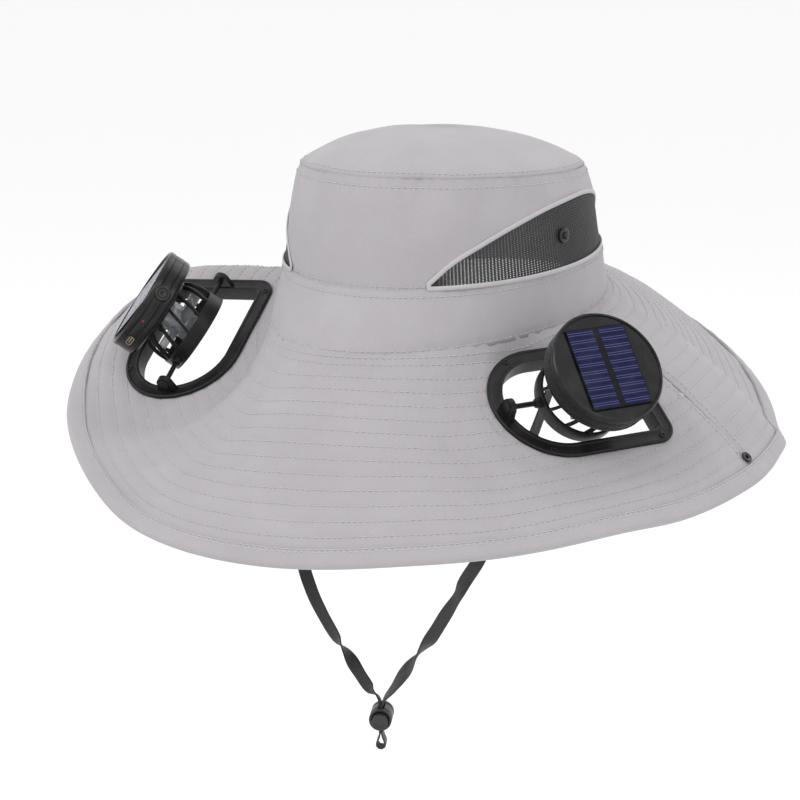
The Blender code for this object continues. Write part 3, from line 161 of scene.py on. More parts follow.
def hermite(start, end, start_slope, end_slope, span, along):
    share = along / span
    rest = 1.0 - share
    from_start = (1.0 + 2.0 * share) * rest * rest * start + share * rest * rest * span * start_slope
    from_end = share * share * (3.0 - 2.0 * share) * end - share * share * rest * span * end_slope
    return from_start + from_end


def open_curve(knots, values, where):
    """Values of a smooth curve through the knots, level beyond its ends."""
    knots = np.asarray(knots, float)
    values = np.asarray(values, float)
    last = len(knots) - 1
    before = np.maximum(np.arange(last + 1) - 1, 0)
    after = np.minimum(np.arange(last + 1) + 1, last)
    slopes = (values[after] - values[before]) / (knots[after] - knots[before])
    where = np.clip(where, knots[0], knots[-1])
    place = np.clip(np.searchsorted(knots, where, side="right") - 1, 0, last - 1)
    span = knots[place + 1] - knots[place]
    ends = (values[place], values[place + 1], slopes[place], slopes[place + 1])
    return hermite(*ends, span, where - knots[place])


def strap_knots():
    """The strap's middle line and the turn of its width, from the left end to the right one."""
    turned = math.radians(LOCK_TURN)
    across = Vector((math.cos(turned), math.sin(turned), 0.0))
    up = Vector((0.0, 0.0, 1.0))
    half_gap = across * (STRAP_RUN_GAP / 2.0)
    width_turn = LOCK_TURN - 270.0
    knots = [(Vector((-out, -forward, -down)) * MM, turn) for out, forward, down, turn in STRAP_LEFT]
    for height in (LOCK_MOUTH, -LOCK_RADIUS, -TAIL_NECK):
        knots.append((LOCK_CENTRE - half_gap + up * height, width_turn))
    for angle in (-100.0, -60.0, 0.0, 60.0, 100.0):
        round_bulb = across * math.sin(math.radians(angle)) - up * math.cos(math.radians(angle))
        knots.append((LOCK_CENTRE - up * (TAIL_LENGTH - TAIL_BULB) + round_bulb * TAIL_BULB, width_turn))
    for height in (-TAIL_NECK, -LOCK_RADIUS, LOCK_MOUTH):
        knots.append((LOCK_CENTRE + half_gap + up * height, width_turn))
    knots += [(Vector((out, -forward, -down)) * MM, turn) for out, forward, down, turn in reversed(STRAP_RIGHT)]
    return knots


def full_turn(count):
    """Even angles right round, in radians."""
    return np.linspace(0.0, 2.0 * math.pi, count, endpoint=False)


def unit(vectors):
    return vectors / np.maximum(np.linalg.norm(vectors, axis=-1, keepdims=True), 1e-12)


def lengths_along(points):
    steps = np.linalg.norm(np.diff(points, axis=0), axis=1)
    return np.concatenate([[0.0], np.cumsum(steps)])


def grid_mesh(name, points, wraps_columns=False, wraps_rows=False, capped=False):
    """A smooth mesh over a grid of points, with a map that runs in metres along its rows and columns."""
    rows, columns = points.shape[:2]
    row = np.arange(rows if wraps_rows else rows - 1)[:, None]
    place = np.arange(columns if wraps_columns else columns - 1)[None, :]
    next_row = (row + 1) % rows
    next_place = (place + 1) % columns
    corners = (row * columns + place, row * columns + next_place, next_row * columns + next_place,
               next_row * columns + place)
    faces = np.stack(corners, axis=-1).reshape(-1, 4).tolist()
    closed = np.concatenate([points, points[:, :1]], axis=1)
    run_along = np.linalg.norm(np.diff(closed, axis=1), axis=2).mean(axis=0)
    run_across = np.linalg.norm(np.diff(np.concatenate([points, points[:1]]), axis=0), axis=2).mean(axis=1)
    u = np.concatenate([[0.0], np.cumsum(run_along)])
    v = np.concatenate([[0.0], np.cumsum(run_across)])
    shape = (row.shape[0], place.shape[1])
    u_low = np.broadcast_to(u[place], shape)
    u_high = np.broadcast_to(u[place + 1], shape)
    v_low = np.broadcast_to(v[row], shape)
    v_high = np.broadcast_to(v[row + 1], shape)
    runs = np.stack([u_low, v_low, u_high, v_low, u_high, v_high, u_low, v_high], axis=-1).reshape(-1, 2)
    if capped:
        faces.append(list(range(columns))[::-1])
        faces.append([(rows - 1) * columns + index for index in range(columns)])
        runs = np.concatenate([runs, np.zeros((2 * columns, 2))])
    mesh = bpy.data.meshes.new(name)
    mesh.from_pydata(points.reshape(-1, 3).tolist(), [], faces)
    layer = mesh.uv_layers.new(name="run")
    layer.uv.foreach_set("vector", runs.astype(np.float32).ravel())
    mesh.polygons.foreach_set("use_smooth", [True] * len(faces))
    return mesh


def face_outwards(mesh):
    """Turns a closed mesh the right way round, by the sign of its volume."""
    mesh.calc_loop_triangles()
    corners = np.empty(len(mesh.loop_triangles) * 3, np.int32)
    mesh.loop_triangles.foreach_get("vertices", corners)
    places = np.empty(len(mesh.vertices) * 3)
    mesh.vertices.foreach_get("co", places)
    triangles = places.reshape(-1, 3)[corners.reshape(-1, 3)]
    volume = np.einsum("ij,ij->", triangles[:, 0], np.cross(triangles[:, 1], triangles[:, 2]))
    if volume < 0.0:
        mesh.flip_normals()
    return mesh


def shader_group(name, inputs, outputs):
    """A new shader node group with its sockets, and its input and output nodes."""
    group = bpy.data.node_groups.new(name, "ShaderNodeTree")
    for socket, kind, value in inputs:
        made = group.interface.new_socket(name=socket, in_out="INPUT", socket_type="NodeSocket" + kind)
        made.default_value = value
    for socket, kind in outputs:
        group.interface.new_socket(name=socket, in_out="OUTPUT", socket_type="NodeSocket" + kind)
    return group, group.nodes.new("NodeGroupInput"), group.nodes.new("NodeGroupOutput")


def add_node(tree, kind, values=(), **settings):
    """A shader node with its settings and the plain values of its input sockets."""
    node = tree.nodes.new("ShaderNode" + kind)
    for setting, value in settings.items():
        setattr(node, setting, value)
    for socket, value in dict(values).items():
        node.inputs[socket].default_value = value
    return node


def mix_colours(tree, share, first, second):
    """A colour mix by a share. Each colour is a socket or a plain colour."""
    node = add_node(tree, "Mix", data_type="RGBA")
    tree.links.new(share, node.inputs["Factor"])
    for socket, value in ((node.inputs[6], first), (node.inputs[7], second)):
        if isinstance(value, bpy.types.NodeSocket):
            tree.links.new(value, socket)
        else:
            socket.default_value = value
    return node.outputs[2]


def weave_group():
    """Woven threads: two sets of ribs that cross, with slubs and slow patches in their colour, and painted shade that
    darkens the colour in the weave's hollows and lightens it on its crests.
    """
    inputs = (("Light", "Color", (0.5, 0.5, 0.5, 1.0)), ("Dark", "Color", (0.3, 0.3, 0.3, 1.0)),
              ("Threads", "Float", 1200.0), ("Weft", "Float", 1200.0), ("Patches", "Float", 30.0))
    group, given, made = shader_group("weave", inputs, (("Color", "Color"), ("Height", "Float")))
    run = add_node(group, "UVMap", uv_map="run")
    parts = add_node(group, "SeparateXYZ")
    group.links.new(run.outputs["UV"], parts.inputs[0])
    heights = []
    for socket, count in (("X", "Threads"), ("Y", "Weft")):
        turns = add_node(group, "Math", operation="MULTIPLY")
        group.links.new(parts.outputs[socket], turns.inputs[0])
        group.links.new(given.outputs[count], turns.inputs[1])
        radians = add_node(group, "Math", {1: 2.0 * math.pi}, operation="MULTIPLY")
        group.links.new(turns.outputs[0], radians.inputs[0])
        wave = add_node(group, "Math", operation="SINE")
        group.links.new(radians.outputs[0], wave.inputs[0])
        heights.append(wave.outputs[0])
    crossed = add_node(group, "Math", operation="MULTIPLY")
    group.links.new(heights[0], crossed.inputs[0])
    group.links.new(heights[1], crossed.inputs[1])
    place = add_node(group, "TexCoord")
    slub = add_node(group, "TexNoise", {"Scale": 1500.0, "Detail": 3.0, "Roughness": 0.7})
    group.links.new(place.outputs["Object"], slub.inputs["Vector"])
    patch = add_node(group, "TexNoise", {"Detail": 4.0, "Roughness": 0.6})
    group.links.new(place.outputs["Object"], patch.inputs["Vector"])
    group.links.new(given.outputs["Patches"], patch.inputs["Scale"])
    both = add_node(group, "Math", {2: 0.0}, operation="MULTIPLY_ADD")
    group.links.new(crossed.outputs[0], both.inputs[0])
    both.inputs[1].default_value = 0.5
    group.links.new(slub.outputs[0], both.inputs[2])
    # Painted shade and light: the weave's height also sets the colour, darker in the hollows between the threads and
    # lighter on their crests, mixed with the slubs' own tone.
    weave_relief_share = add_node(group, "MapRange", {"From Min": -0.1, "From Max": 1.1})
    group.links.new(both.outputs[0], weave_relief_share.inputs["Value"])
    painted_weave_shade_and_slub = mix_colours(group, weave_relief_share.outputs["Result"], (0.82, 0.82, 0.82, 1.0), (1.06, 1.06, 1.06, 1.0))
    slow = mix_colours(group, patch.outputs[0], given.outputs["Dark"], given.outputs["Light"])
    product = add_node(group, "Mix", {"Factor": 1.0}, data_type="RGBA", blend_type="MULTIPLY")
    group.links.new(slow, product.inputs[6])
    group.links.new(painted_weave_shade_and_slub, product.inputs[7])
    group.links.new(product.outputs[2], made.inputs["Color"])
    group.links.new(both.outputs[0], made.inputs["Height"])
    return group


WEAVE = weave_group()


def woven_material(name, light, dark, threads, weft, patches, bump, roughness, **sockets):
    """A cloth whose colour and relief come from the weave group."""
    material = new_material(name, light, roughness, **sockets)
    tree = material.node_tree
    shader = tree.nodes["Principled BSDF"]
    weave = tree.nodes.new("ShaderNodeGroup")
    weave.node_tree = WEAVE
    values = {"Light": (*light, 1.0), "Dark": (*dark, 1.0), "Threads": threads, "Weft": weft, "Patches": patches}
    for socket, value in values.items():
        weave.inputs[socket].default_value = value
    relief = add_node(tree, "Bump", {"Strength": 0.7, "Distance": bump})
    tree.links.new(weave.outputs["Color"], shader.inputs["Base Color"])
    tree.links.new(weave.outputs["Height"], relief.inputs["Height"])
    tree.links.new(relief.outputs["Normal"], shader.inputs["Normal"])
    return material


def finish_piece(piece, body, slot, *nodes):
    """Says which body the piece rides on and the solids that it stands for. Its finish's slot is not used."""
    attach(piece, body)
    if nodes:
        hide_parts(*nodes)
    return piece


def add_piece(mesh, material, body, slot, *nodes, placed=None, sharp=None):
    """Places a finished mesh under its own name. Edges sharper than the given degrees stay crisp."""
    piece = place_object(mesh.name, mesh, material, placed)
    if sharp is not None:
        crisp(piece, sharp)
    return finish_piece(piece, body, slot, *nodes)


def build_strap():
    knots = strap_knots()
    places = np.array([tuple(knot[0]) for knot in knots])
    reach = lengths_along(places)
    stations = np.linspace(0.0, reach[-1], STRAP_STATIONS)
    line = np.stack([open_curve(reach, places[:, axis], stations) for axis in range(3)], axis=1)
    turns = np.radians(open_curve(reach, [knot[1] for knot in knots], stations))
    run = unit(np.gradient(line, axis=0))
    wide = np.stack([np.cos(turns), np.sin(turns), np.zeros_like(turns)], axis=1)
    wide = unit(wide - run * (wide * run).sum(axis=1, keepdims=True))
    thin = np.cross(run, wide)
    section = np.array(RIBBON_SECTION)
    points = line[:, None] + wide[:, None] * (section[None, :, :1] * STRAP_WIDTH / 2.0)
    points = points + thin[:, None] * (section[None, :, 1:] * STRAP_THICKNESS / 2.0)
    mesh = face_outwards(grid_mesh("chin_strap_ribbon", points, True, False, True))
    ribbon = woven_material("strap_ribbon", (0.020, 0.020, 0.021), (0.012, 0.012, 0.013), 700.0,
                            1.0 / STRAP_RIB_PITCH, 60.0, 0.00025, 0.62, Sheen_Weight=0.25)
    return add_piece(mesh, ribbon, "hat", "strap", "chin_strap"), line


strap, strap_line = build_strap()


# The cord lock: a small black barrel of moulded plastic with a spring inside. Its slot and the button's
# line up when the button is pushed in, and the spring nips the two runs of the ribbon when it is let go.
LOCK_FRONT = 6.6 * MM
LOCK_BACK = 8.6 * MM
LOCK_WALL = 1.4 * MM
LOCK_GAP = 0.3 * MM
LOCK_GRIP_DEPTH = 0.25 * MM
PLUNGER_RADIUS = 4.6 * MM
PLUNGER_PROUD = 3.2 * MM
PLUNGER_TRAVEL = 2.4 * MM
PLUNGER_DISH = 0.5 * MM
STRAP_SLOT = 3.9 * MM
CUT_REACH = 6.0 * MM
FINE_ROUND = 0.35 * MM
LOCK_STEPS = 64
PLASTIC_COLOUR = (0.019, 0.019, 0.021)


def moulded_group():
    """Moulded plastic: the mould's fine grain, slow flow in its gloss, and faint dust in its colour."""
    inputs = (("Base", "Color", (0.02, 0.02, 0.02, 1.0)), ("Gloss", "Float", 0.3), ("Grain", "Float", 2500.0))
    outputs = (("Color", "Color"), ("Roughness", "Float"), ("Height", "Float"))
    group, given, made = shader_group("moulded", inputs, outputs)
    place = add_node(group, "TexCoord")
    grain = add_node(group, "TexNoise", {"Detail": 2.0})
    flow = add_node(group, "TexNoise", {"Scale": 90.0, "Detail": 3.0, "Roughness": 0.6})
    for texture in (grain, flow):
        group.links.new(place.outputs["Object"], texture.inputs["Vector"])
    group.links.new(given.outputs["Grain"], grain.inputs["Scale"])
    spread = add_node(group, "MapRange", {"To Min": -0.05, "To Max": 0.07})
    group.links.new(flow.outputs[0], spread.inputs["Value"])
    gloss = add_node(group, "Math", operation="ADD")
    group.links.new(given.outputs["Gloss"], gloss.inputs[0])
    group.links.new(spread.outputs["Result"], gloss.inputs[1])
    dusty = add_node(group, "MapRange", {"From Min": 0.45, "From Max": 0.8, "To Max": 0.12})
    group.links.new(flow.outputs[0], dusty.inputs["Value"])
    dust = mix_colours(group, dusty.outputs["Result"], given.outputs["Base"], (0.12, 0.12, 0.125, 1.0))
    group.links.new(dust, made.inputs["Color"])
    group.links.new(gloss.outputs[0], made.inputs["Roughness"])
    group.links.new(grain.outputs[0], made.inputs["Height"])
    return group


MOULDED = moulded_group()


def moulded_material(name, base, gloss, grain=2500.0, bump=0.00002, **sockets):
    """A plastic or metal whose colour, gloss and relief come from the moulded group."""
    material = new_material(name, base, gloss, **sockets)
    tree = material.node_tree
    shader = tree.nodes["Principled BSDF"]
    surface = tree.nodes.new("ShaderNodeGroup")
    surface.node_tree = MOULDED
    for socket, value in {"Base": (*base, 1.0), "Gloss": gloss, "Grain": grain}.items():
        surface.inputs[socket].default_value = value
    relief = add_node(tree, "Bump", {"Strength": 0.5, "Distance": bump})
    tree.links.new(surface.outputs["Color"], shader.inputs["Base Color"])
    tree.links.new(surface.outputs["Roughness"], shader.inputs["Roughness"])
    tree.links.new(surface.outputs["Height"], relief.inputs["Height"])
    tree.links.new(relief.outputs["Normal"], shader.inputs["Normal"])
    return material


def round_corners(profile, radius, steps=3):
    """An open line with each of its corners turned into a small arc."""
    rounded = [profile[0]]
    for before, corner, after in zip(profile, profile[1:], profile[2:]):
        middle = Vector(corner)
        back = Vector(before) - middle
        ahead = Vector(after) - middle
        reach = min(radius, 0.45 * back.length, 0.45 * ahead.length)
        start = middle + back.normalized() * reach
        end = middle + ahead.normalized() * reach
        for step in range(steps + 1):
            share = step / steps
            point = start.lerp(middle, share).lerp(middle.lerp(end, share), share)
            rounded.append(tuple(point))
    rounded.append(profile[-1])
    return rounded


def lathe_mesh(name, profile, steps, radius=FINE_ROUND):
    """A turned solid about z. The profile runs from the axis out and back to the axis."""
    line = round_corners(profile, radius) if radius else list(profile)
    angles = full_turn(steps)
    inner = np.array(line[1:-1])
    around = np.stack([np.cos(angles), np.sin(angles)], axis=1)
    heights = np.repeat(inner[:, None, 1:], steps, axis=1)
    grid = np.concatenate([inner[:, None, :1] * around[None], heights], axis=2)
    rows = len(inner)
    points = grid.reshape(-1, 3).tolist() + [(0.0, 0.0, line[0][1]), (0.0, 0.0, line[-1][1])]
    faces = []
    for row in range(rows - 1):
        for step in range(steps):
            after = (step + 1) % steps
            low = row * steps
            faces.append((low + step, low + after, low + steps + after, low + steps + step))
    last = (rows - 1) * steps
    for step in range(steps):
        after = (step + 1) % steps
        faces.append((rows * steps, after, step))
        faces.append((rows * steps + 1, last + step, last + after))
    mesh = bpy.data.meshes.new(name)
    mesh.from_pydata(points, [], faces)
    mesh.polygons.foreach_set("use_smooth", [True] * len(faces))
    return face_outwards(mesh)


def block_mesh(name, low, high):
    """A plain block between two corners, used to cut with."""
    corners = [(x, y, z) for z in (low[2], high[2]) for y in (low[1], high[1]) for x in (low[0], high[0])]
    faces = [(0, 2, 3, 1), (4, 5, 7, 6), (0, 1, 5, 4), (2, 6, 7, 3), (0, 4, 6, 2), (1, 3, 7, 5)]
    mesh = bpy.data.meshes.new(name)
    mesh.from_pydata(corners, [], faces)
    return face_outwards(mesh)


def combine(piece, mesh, placed, operation):
    """Cuts a mesh out of the piece or joins it on, and keeps the result as the piece's own mesh."""
    other = bpy.data.objects.new("other", mesh)
    bpy.context.scene.collection.objects.link(other)
    other.matrix_world = placed
    modifier = piece.modifiers.new("combine", "BOOLEAN")
    modifier.operation = operation
    modifier.solver = "EXACT"
    modifier.object = other
    bpy.context.view_layer.update()
    graph = bpy.context.evaluated_depsgraph_get()
    result = bpy.data.meshes.new_from_object(piece.evaluated_get(graph))
    piece.modifiers.clear()
    piece.data = result
    bpy.data.objects.remove(other)


def crisp(piece, degrees=40.0):
    """Keeps edges sharper than this crisp under smooth shading."""
    piece.data.set_sharp_from_angle(angle=math.radians(degrees))


def build_lock():
    placed = Matrix.Translation(LOCK_CENTRE) @ Matrix.Rotation(math.radians(LOCK_TURN), 4, "Z")
    placed = placed @ Matrix.Rotation(math.pi / 2.0, 4, "X")
    grip = LOCK_RADIUS - LOCK_GRIP_DEPTH
    barrel_profile = [(0.0, -LOCK_BACK), (LOCK_RADIUS * 0.86, -LOCK_BACK), (LOCK_RADIUS, -LOCK_BACK + MM)]
    for height in (-5.5 * MM, -4.3 * MM, 3.2 * MM, 4.4 * MM):
        barrel_profile += [(LOCK_RADIUS, height), (grip, height + 0.2 * MM), (grip, height + 0.6 * MM),
                           (LOCK_RADIUS, height + 0.8 * MM)]
    barrel_profile += [(LOCK_RADIUS, LOCK_FRONT), (PLUNGER_RADIUS + LOCK_GAP, LOCK_FRONT),
                       (PLUNGER_RADIUS + LOCK_GAP, -LOCK_BACK + LOCK_WALL), (0.0, -LOCK_BACK + LOCK_WALL)]
    plastic = moulded_material("lock_plastic", PLASTIC_COLOUR, 0.34)
    mesh = lathe_mesh("cord_lock_barrel", barrel_profile, LOCK_STEPS)
    barrel = place_object("cord_lock_barrel", mesh, plastic, placed)
    half = STRAP_SLOT / 2.0
    reach = STRAP_WIDTH / 2.0 + LOCK_GAP
    past = LOCK_RADIUS + CUT_REACH
    combine(barrel, block_mesh("lock_slot", (-half, -past, -reach), (half, past, reach)), placed, "DIFFERENCE")
    inner_end = -LOCK_BACK + LOCK_WALL + LOCK_GAP + PLUNGER_TRAVEL
    top = LOCK_FRONT + PLUNGER_PROUD
    button_profile = [(0.0, inner_end), (PLUNGER_RADIUS, inner_end), (PLUNGER_RADIUS, top),
                      (PLUNGER_RADIUS * 0.72, top), (PLUNGER_RADIUS * 0.5, top - PLUNGER_DISH),
                      (0.0, top - PLUNGER_DISH)]
    mesh = lathe_mesh("cord_lock_button", button_profile, LOCK_STEPS)
    button = place_object("cord_lock_button", mesh, plastic, placed)
    slot = block_mesh("button_slot", (-half, -past, -reach), (half, past, reach + PLUNGER_TRAVEL))
    combine(button, slot, placed, "DIFFERENCE")
    for piece in (barrel, button):
        crisp(piece)
    finish_piece(barrel, "hat", "black_plastic", "cord_lock_body")
    finish_piece(button, "lock_plunger", "black_plastic", "cord_lock_plunger")


build_lock()


# The crown: a lower band, a side wall with a leaf-shaped window on each side, and a domed tip, all of a
# light grey plain-weave cotton. The three are sewn edge to edge, and each seam is stitched down twice.
CLOTH = 1.5 * MM
CLOTH_LIGHT = (0.46, 0.44, 0.46)
CLOTH_DARK = (0.38, 0.36, 0.38)
CLOTH_THREADS = 1150.0
THREAD_COLOUR = (0.60, 0.585, 0.60)
SEAM_GAP = 0.3 * MM
SEAM_PINCH = 0.5 * MM
CROWN_COLUMNS = 288
# Half width, half depth and height of each seam ring, and its rise per metre towards the back
CROWN_RINGS = {
    "base": (84.5 * MM, 109.0 * MM, 0.0, 0.077),
    "band_top": (85.5 * MM, 91.0 * MM, 28.7 * MM, 0.077),
    "tip_seam": (75.2 * MM, 83.5 * MM, 75.7 * MM, -0.021),
}
WALL_BULGE = 2.6 * MM
DOME_HEIGHT = 19.0 * MM
DOME_POWER = 2.6
DOME_FORWARD = 0.22
# Where the rows of each piece's mesh lie. They run a little past the seams, where one cloth tucks under the next.
BAND_SHARES = np.linspace(-0.05, 1.03, 16)
WALL_SHARES = np.linspace(-0.01, 1.025, 26)
TIP_SHARES = np.concatenate([[0.004], np.linspace(0.06, 0.995, 30)])
# Azimuth, depth and half span of the two dents under the tip's seam
TIP_DENTS = ((30.0, 2.6 * MM, 7.0), (56.0, 2.2 * MM, 6.5))
DENT_REACH = 0.3
# The windows' leaf shape: azimuth, and the top edge's share of the wall's height
WINDOW_OUTLINE = ((32.0, 0.06), (40.0, 0.24), (50.0, 0.39), (62.0, 0.54), (76.0, 0.67), (90.0, 0.74),
                  (104.0, 0.76), (117.0, 0.70), (129.0, 0.55), (138.0, 0.30))
WINDOW_BOTTOM = 0.012
CREASE_HEIGHT = 0.7 * MM
CREASE_SIZE = 22.0 * MM
PUCKER_HEIGHT = 0.22 * MM
PUCKER_PITCH = 6.0
STITCH_PITCH = 3.1 * MM
STITCH_LENGTH = 2.3 * MM
STITCH_WIDTH = 0.55 * MM
STITCH_HEIGHT = 0.32 * MM


def bell(distance, half_span):
    return np.exp(-((distance / half_span) ** 2))


def turn_between(azimuth, other):
    return (azimuth - other + 180.0) % 360.0 - 180.0


def smooth_step(value):
    value = np.clip(value, 0.0, 1.0)
    return value * value * (3.0 - 2.0 * value)


def level(points):
    """The directions straight out from the hat's middle, at the points."""
    return unit(points * np.array([1.0, 1.0, 0.0]))


def ring_points(ring, azimuth):
    half_width, half_depth, height, lean = CROWN_RINGS[ring]
    angle = np.radians(azimuth)
    y = -half_depth * np.cos(angle)
    return np.stack([half_width * np.sin(angle), y, height + lean * y], axis=-1)


def dent_depth(azimuth, share):
    total = 0.0
    for middle, depth, half_span in TIP_DENTS:
        total = total + depth * bell(turn_between(azimuth, middle), half_span) * bell(1.0 - share, DENT_REACH)
    return total


def band_points(azimuth, share):
    low, high = ring_points("base", azimuth), ring_points("band_top", azimuth)
    return low + (high - low) * share[..., None]


def wall_points(azimuth, share):
    """The wall between the band's seam at share 0 and the tip's seam at share 1."""
    low, high = ring_points("band_top", azimuth), ring_points("tip_seam", azimuth)
    points = low + (high - low) * share[..., None]
    bulge = WALL_BULGE * 4.0 * share * (1.0 - share) * share
    return points + level(points) * (bulge - dent_depth(azimuth, share))[..., None]


def tip_points(azimuth, share):
    """The domed tip, from its middle at share 0 to its seam at share 1."""
    edge = ring_points("tip_seam", azimuth)
    height = CROWN_RINGS["tip_seam"][2]
    forward = -DOME_FORWARD * DOME_HEIGHT * share * np.cos(np.radians(azimuth)) * (share - 1.0)
    rise = DOME_HEIGHT * (1.0 - share ** DOME_POWER) + forward + SEAM_GAP + CLOTH
    points = np.stack([edge[..., 0] * share, edge[..., 1] * share,
                       height + (edge[..., 2] - height) * share + rise], axis=-1)
    return points - level(edge) * (dent_depth(azimuth, np.ones_like(share)) * share ** 6)[..., None]


def grid_normals(points, wraps):
    """Directions out of a grid of points, whose first axis may go right round."""
    if wraps:
        around = np.roll(points, -1, axis=0) - np.roll(points, 1, axis=0)
    else:
        around = np.gradient(points, axis=0)
    return unit(np.cross(around, np.gradient(points, axis=1)))


def soft_creases(points, size, seed):
    """Slow uneven heights from -1 to 1 over the points, the same on every run."""
    flat = points.reshape(-1, 3) / size + np.array([seed, -seed, seed * 0.5])
    return np.array([noise.noise(Vector(point)) for point in flat]).reshape(points.shape[:-1])


def sewn_relief(points, azimuth, share, seed):
    """Creases over a piece of cloth, with a pinch and fine puckers at its two seams."""
    to_seam = np.minimum(share, 1.0 - share)
    pinch = bell(to_seam, 0.05)
    puckers = np.sin(np.radians(azimuth) * 360.0 / PUCKER_PITCH * (1.0 + 0.02 * seed)) * bell(to_seam, 0.12)
    return CREASE_HEIGHT * soft_creases(points, CREASE_SIZE, seed) - SEAM_PINCH * pinch + PUCKER_HEIGHT * puckers


def cloth_ring(name, points_at, shares, material, seed, closed_tip=False):
    """A ring of cloth with a thickness all round the crown. It gives the piece and its outer face."""
    azimuths = np.linspace(-180.0, 180.0, CROWN_COLUMNS, endpoint=False)
    azimuth, share = np.meshgrid(azimuths, shares, indexing="ij")
    outer = points_at(azimuth, share)
    normals = grid_normals(outer, True)
    if (normals * level(outer)).sum() < 0.0:
        normals = -normals
    if closed_tip:
        normals[:, 0] = (0.0, 0.0, 1.0)
    relief = sewn_relief(outer, azimuth, share, seed)
    if closed_tip:
        relief *= smooth_step(share * 5.0)
    outer = outer + normals * relief[..., None]
    inner = outer - normals * CLOTH
    ring = np.concatenate([outer, inner[:, ::-1]], axis=1).transpose(1, 0, 2)
    mesh = face_outwards(grid_mesh(name, ring, True, not closed_tip, closed_tip))
    return place_object(name, mesh, material), outer, normals


def stitch_row(line, normals, keep=None, pitch=STITCH_PITCH, length=STITCH_LENGTH):
    """Corners of one row of stitches on a line: four stations of four corners for each stitch."""
    reach = lengths_along(line)
    count = max(int(reach[-1] / pitch), 1)
    middles = (np.arange(count) + 0.5) * reach[-1] / count
    offsets = np.array([-0.5, -0.3, 0.3, 0.5]) * length
    lifts = np.array([-0.8, 1.0, 1.0, -0.8]) * STITCH_HEIGHT
    stations = middles[:, None] + offsets[None]
    sample = [np.interp(stations, reach, line[:, axis]) for axis in range(3)]
    points = np.stack(sample, axis=-1)
    up = unit(np.stack([np.interp(stations, reach, normals[:, axis]) for axis in range(3)], axis=-1))
    run = unit(points[:, -1:] - points[:, :1])
    side = unit(np.cross(up, run)) * STITCH_WIDTH / 2.0
    middle = points + up * lifts[None, :, None]
    half = up * (STITCH_HEIGHT / 2.0)
    corners = np.stack([middle - side, middle - half, middle + side, middle + half], axis=2)
    if keep is not None:
        corners = corners[keep(points.mean(axis=1))]
    return corners


def stitch_mesh(name, rows):
    """One mesh of all the stitches of a piece."""
    corners = np.concatenate(rows)
    count = len(corners)
    first = (np.arange(count) * 16)[:, None, None, None]
    station = (np.arange(3) * 4)[None, :, None, None]
    place = np.arange(4)[None, None, :, None]
    after = (place + 1) % 4
    quads = np.concatenate([first + station + place, first + station + after, first + station + 4 + after,
                            first + station + 4 + place], axis=3).reshape(-1, 4)
    ends = np.concatenate([first[:, 0, 0] + np.array([3, 2, 1, 0]), first[:, 0, 0] + np.array([12, 13, 14, 15])])
    faces = np.concatenate([quads, ends])
    mesh = bpy.data.meshes.new(name)
    mesh.from_pydata(corners.reshape(-1, 3).tolist(), [], faces.tolist())
    mesh.polygons.foreach_set("use_smooth", [True] * len(faces))
    layer = mesh.uv_layers.new(name="run")
    flat = corners.reshape(-1, 3)[faces.reshape(-1)]
    layer.uv.foreach_set("vector", flat[:, :2].astype(np.float32).ravel())
    return face_outwards(mesh)


def window_edges(side, count=73):
    """The lower and upper edge of a window on the wall's face, from its front corner."""
    azimuths = np.linspace(WINDOW_OUTLINE[0][0], WINDOW_OUTLINE[-1][0], count)
    tops = open_curve([row[0] for row in WINDOW_OUTLINE], [row[1] for row in WINDOW_OUTLINE], azimuths)
    lows = np.full_like(azimuths, WINDOW_BOTTOM)
    return wall_points(side * azimuths, lows), wall_points(side * azimuths, tops)


def window_cutter_mesh(side):
    """A bent block through the wall with the leaf's outline."""
    low, high = window_edges(side)
    away = level(low) * CUT_REACH
    corners = np.stack([low - away, low + away, high + away, high - away], axis=1)
    return face_outwards(grid_mesh("window_cutter", corners, True, False, True))


cotton = woven_material("cotton", CLOTH_LIGHT, CLOTH_DARK, CLOTH_THREADS, CLOTH_THREADS, 35.0, 0.00012, 0.92,
                        Sheen_Weight=0.12)
seam_thread = woven_material("seam_thread", THREAD_COLOUR, (0.5, 0.49, 0.5), 2500.0, 2500.0, 120.0, 0.00005, 0.8)


def clear_of_windows(points):
    """Which points of the wall's lower seam lie beyond the windows."""
    half_width, half_depth = CROWN_RINGS["band_top"][:2]
    azimuth = np.abs(np.degrees(np.arctan2(points[:, 0] / half_width, -points[:, 1] / half_depth)))
    return (azimuth < WINDOW_OUTLINE[0][0] - 1.0) | (azimuth > WINDOW_OUTLINE[-1][0] + 1.0)


def sew(name, rows, thread):
    """Adds all the stitches of a piece as one mesh."""
    add_piece(stitch_mesh(name, rows), thread, "hat", "cloth")


def build_crown():
    band, band_outer, band_up = cloth_ring("crown_band_cloth", band_points, BAND_SHARES, cotton, 3.0)
    wall, wall_outer, wall_up = cloth_ring("crown_wall_cloth", wall_points, WALL_SHARES, cotton, 11.0)
    for side in (-1.0, 1.0):
        combine(wall, window_cutter_mesh(side), Matrix.Identity(4), "DIFFERENCE")
    crisp(wall)
    tip, tip_outer, tip_up = cloth_ring("crown_tip_cloth", tip_points, TIP_SHARES, cotton, 7.0, True)
    finish_piece(band, "hat", "cloth", "crown_band")
    finish_piece(wall, "hat", "cloth", "crown_wall")
    finish_piece(tip, "hat", "cloth", "crown_tip")
    rows = []
    for outer, normals, place, keep in ((band_outer, band_up, 1, None), (band_outer, band_up, 13, None),
                                        (wall_outer, wall_up, 1, clear_of_windows), (wall_outer, wall_up, 23, None),
                                        (tip_outer, tip_up, 29, None)):
        line = np.concatenate([outer[:, place], outer[:1, place]])
        rows.append(stitch_row(line, np.concatenate([normals[:, place], normals[:1, place]]), keep))
    sew("crown_stitches", rows, seam_thread)


build_crown()


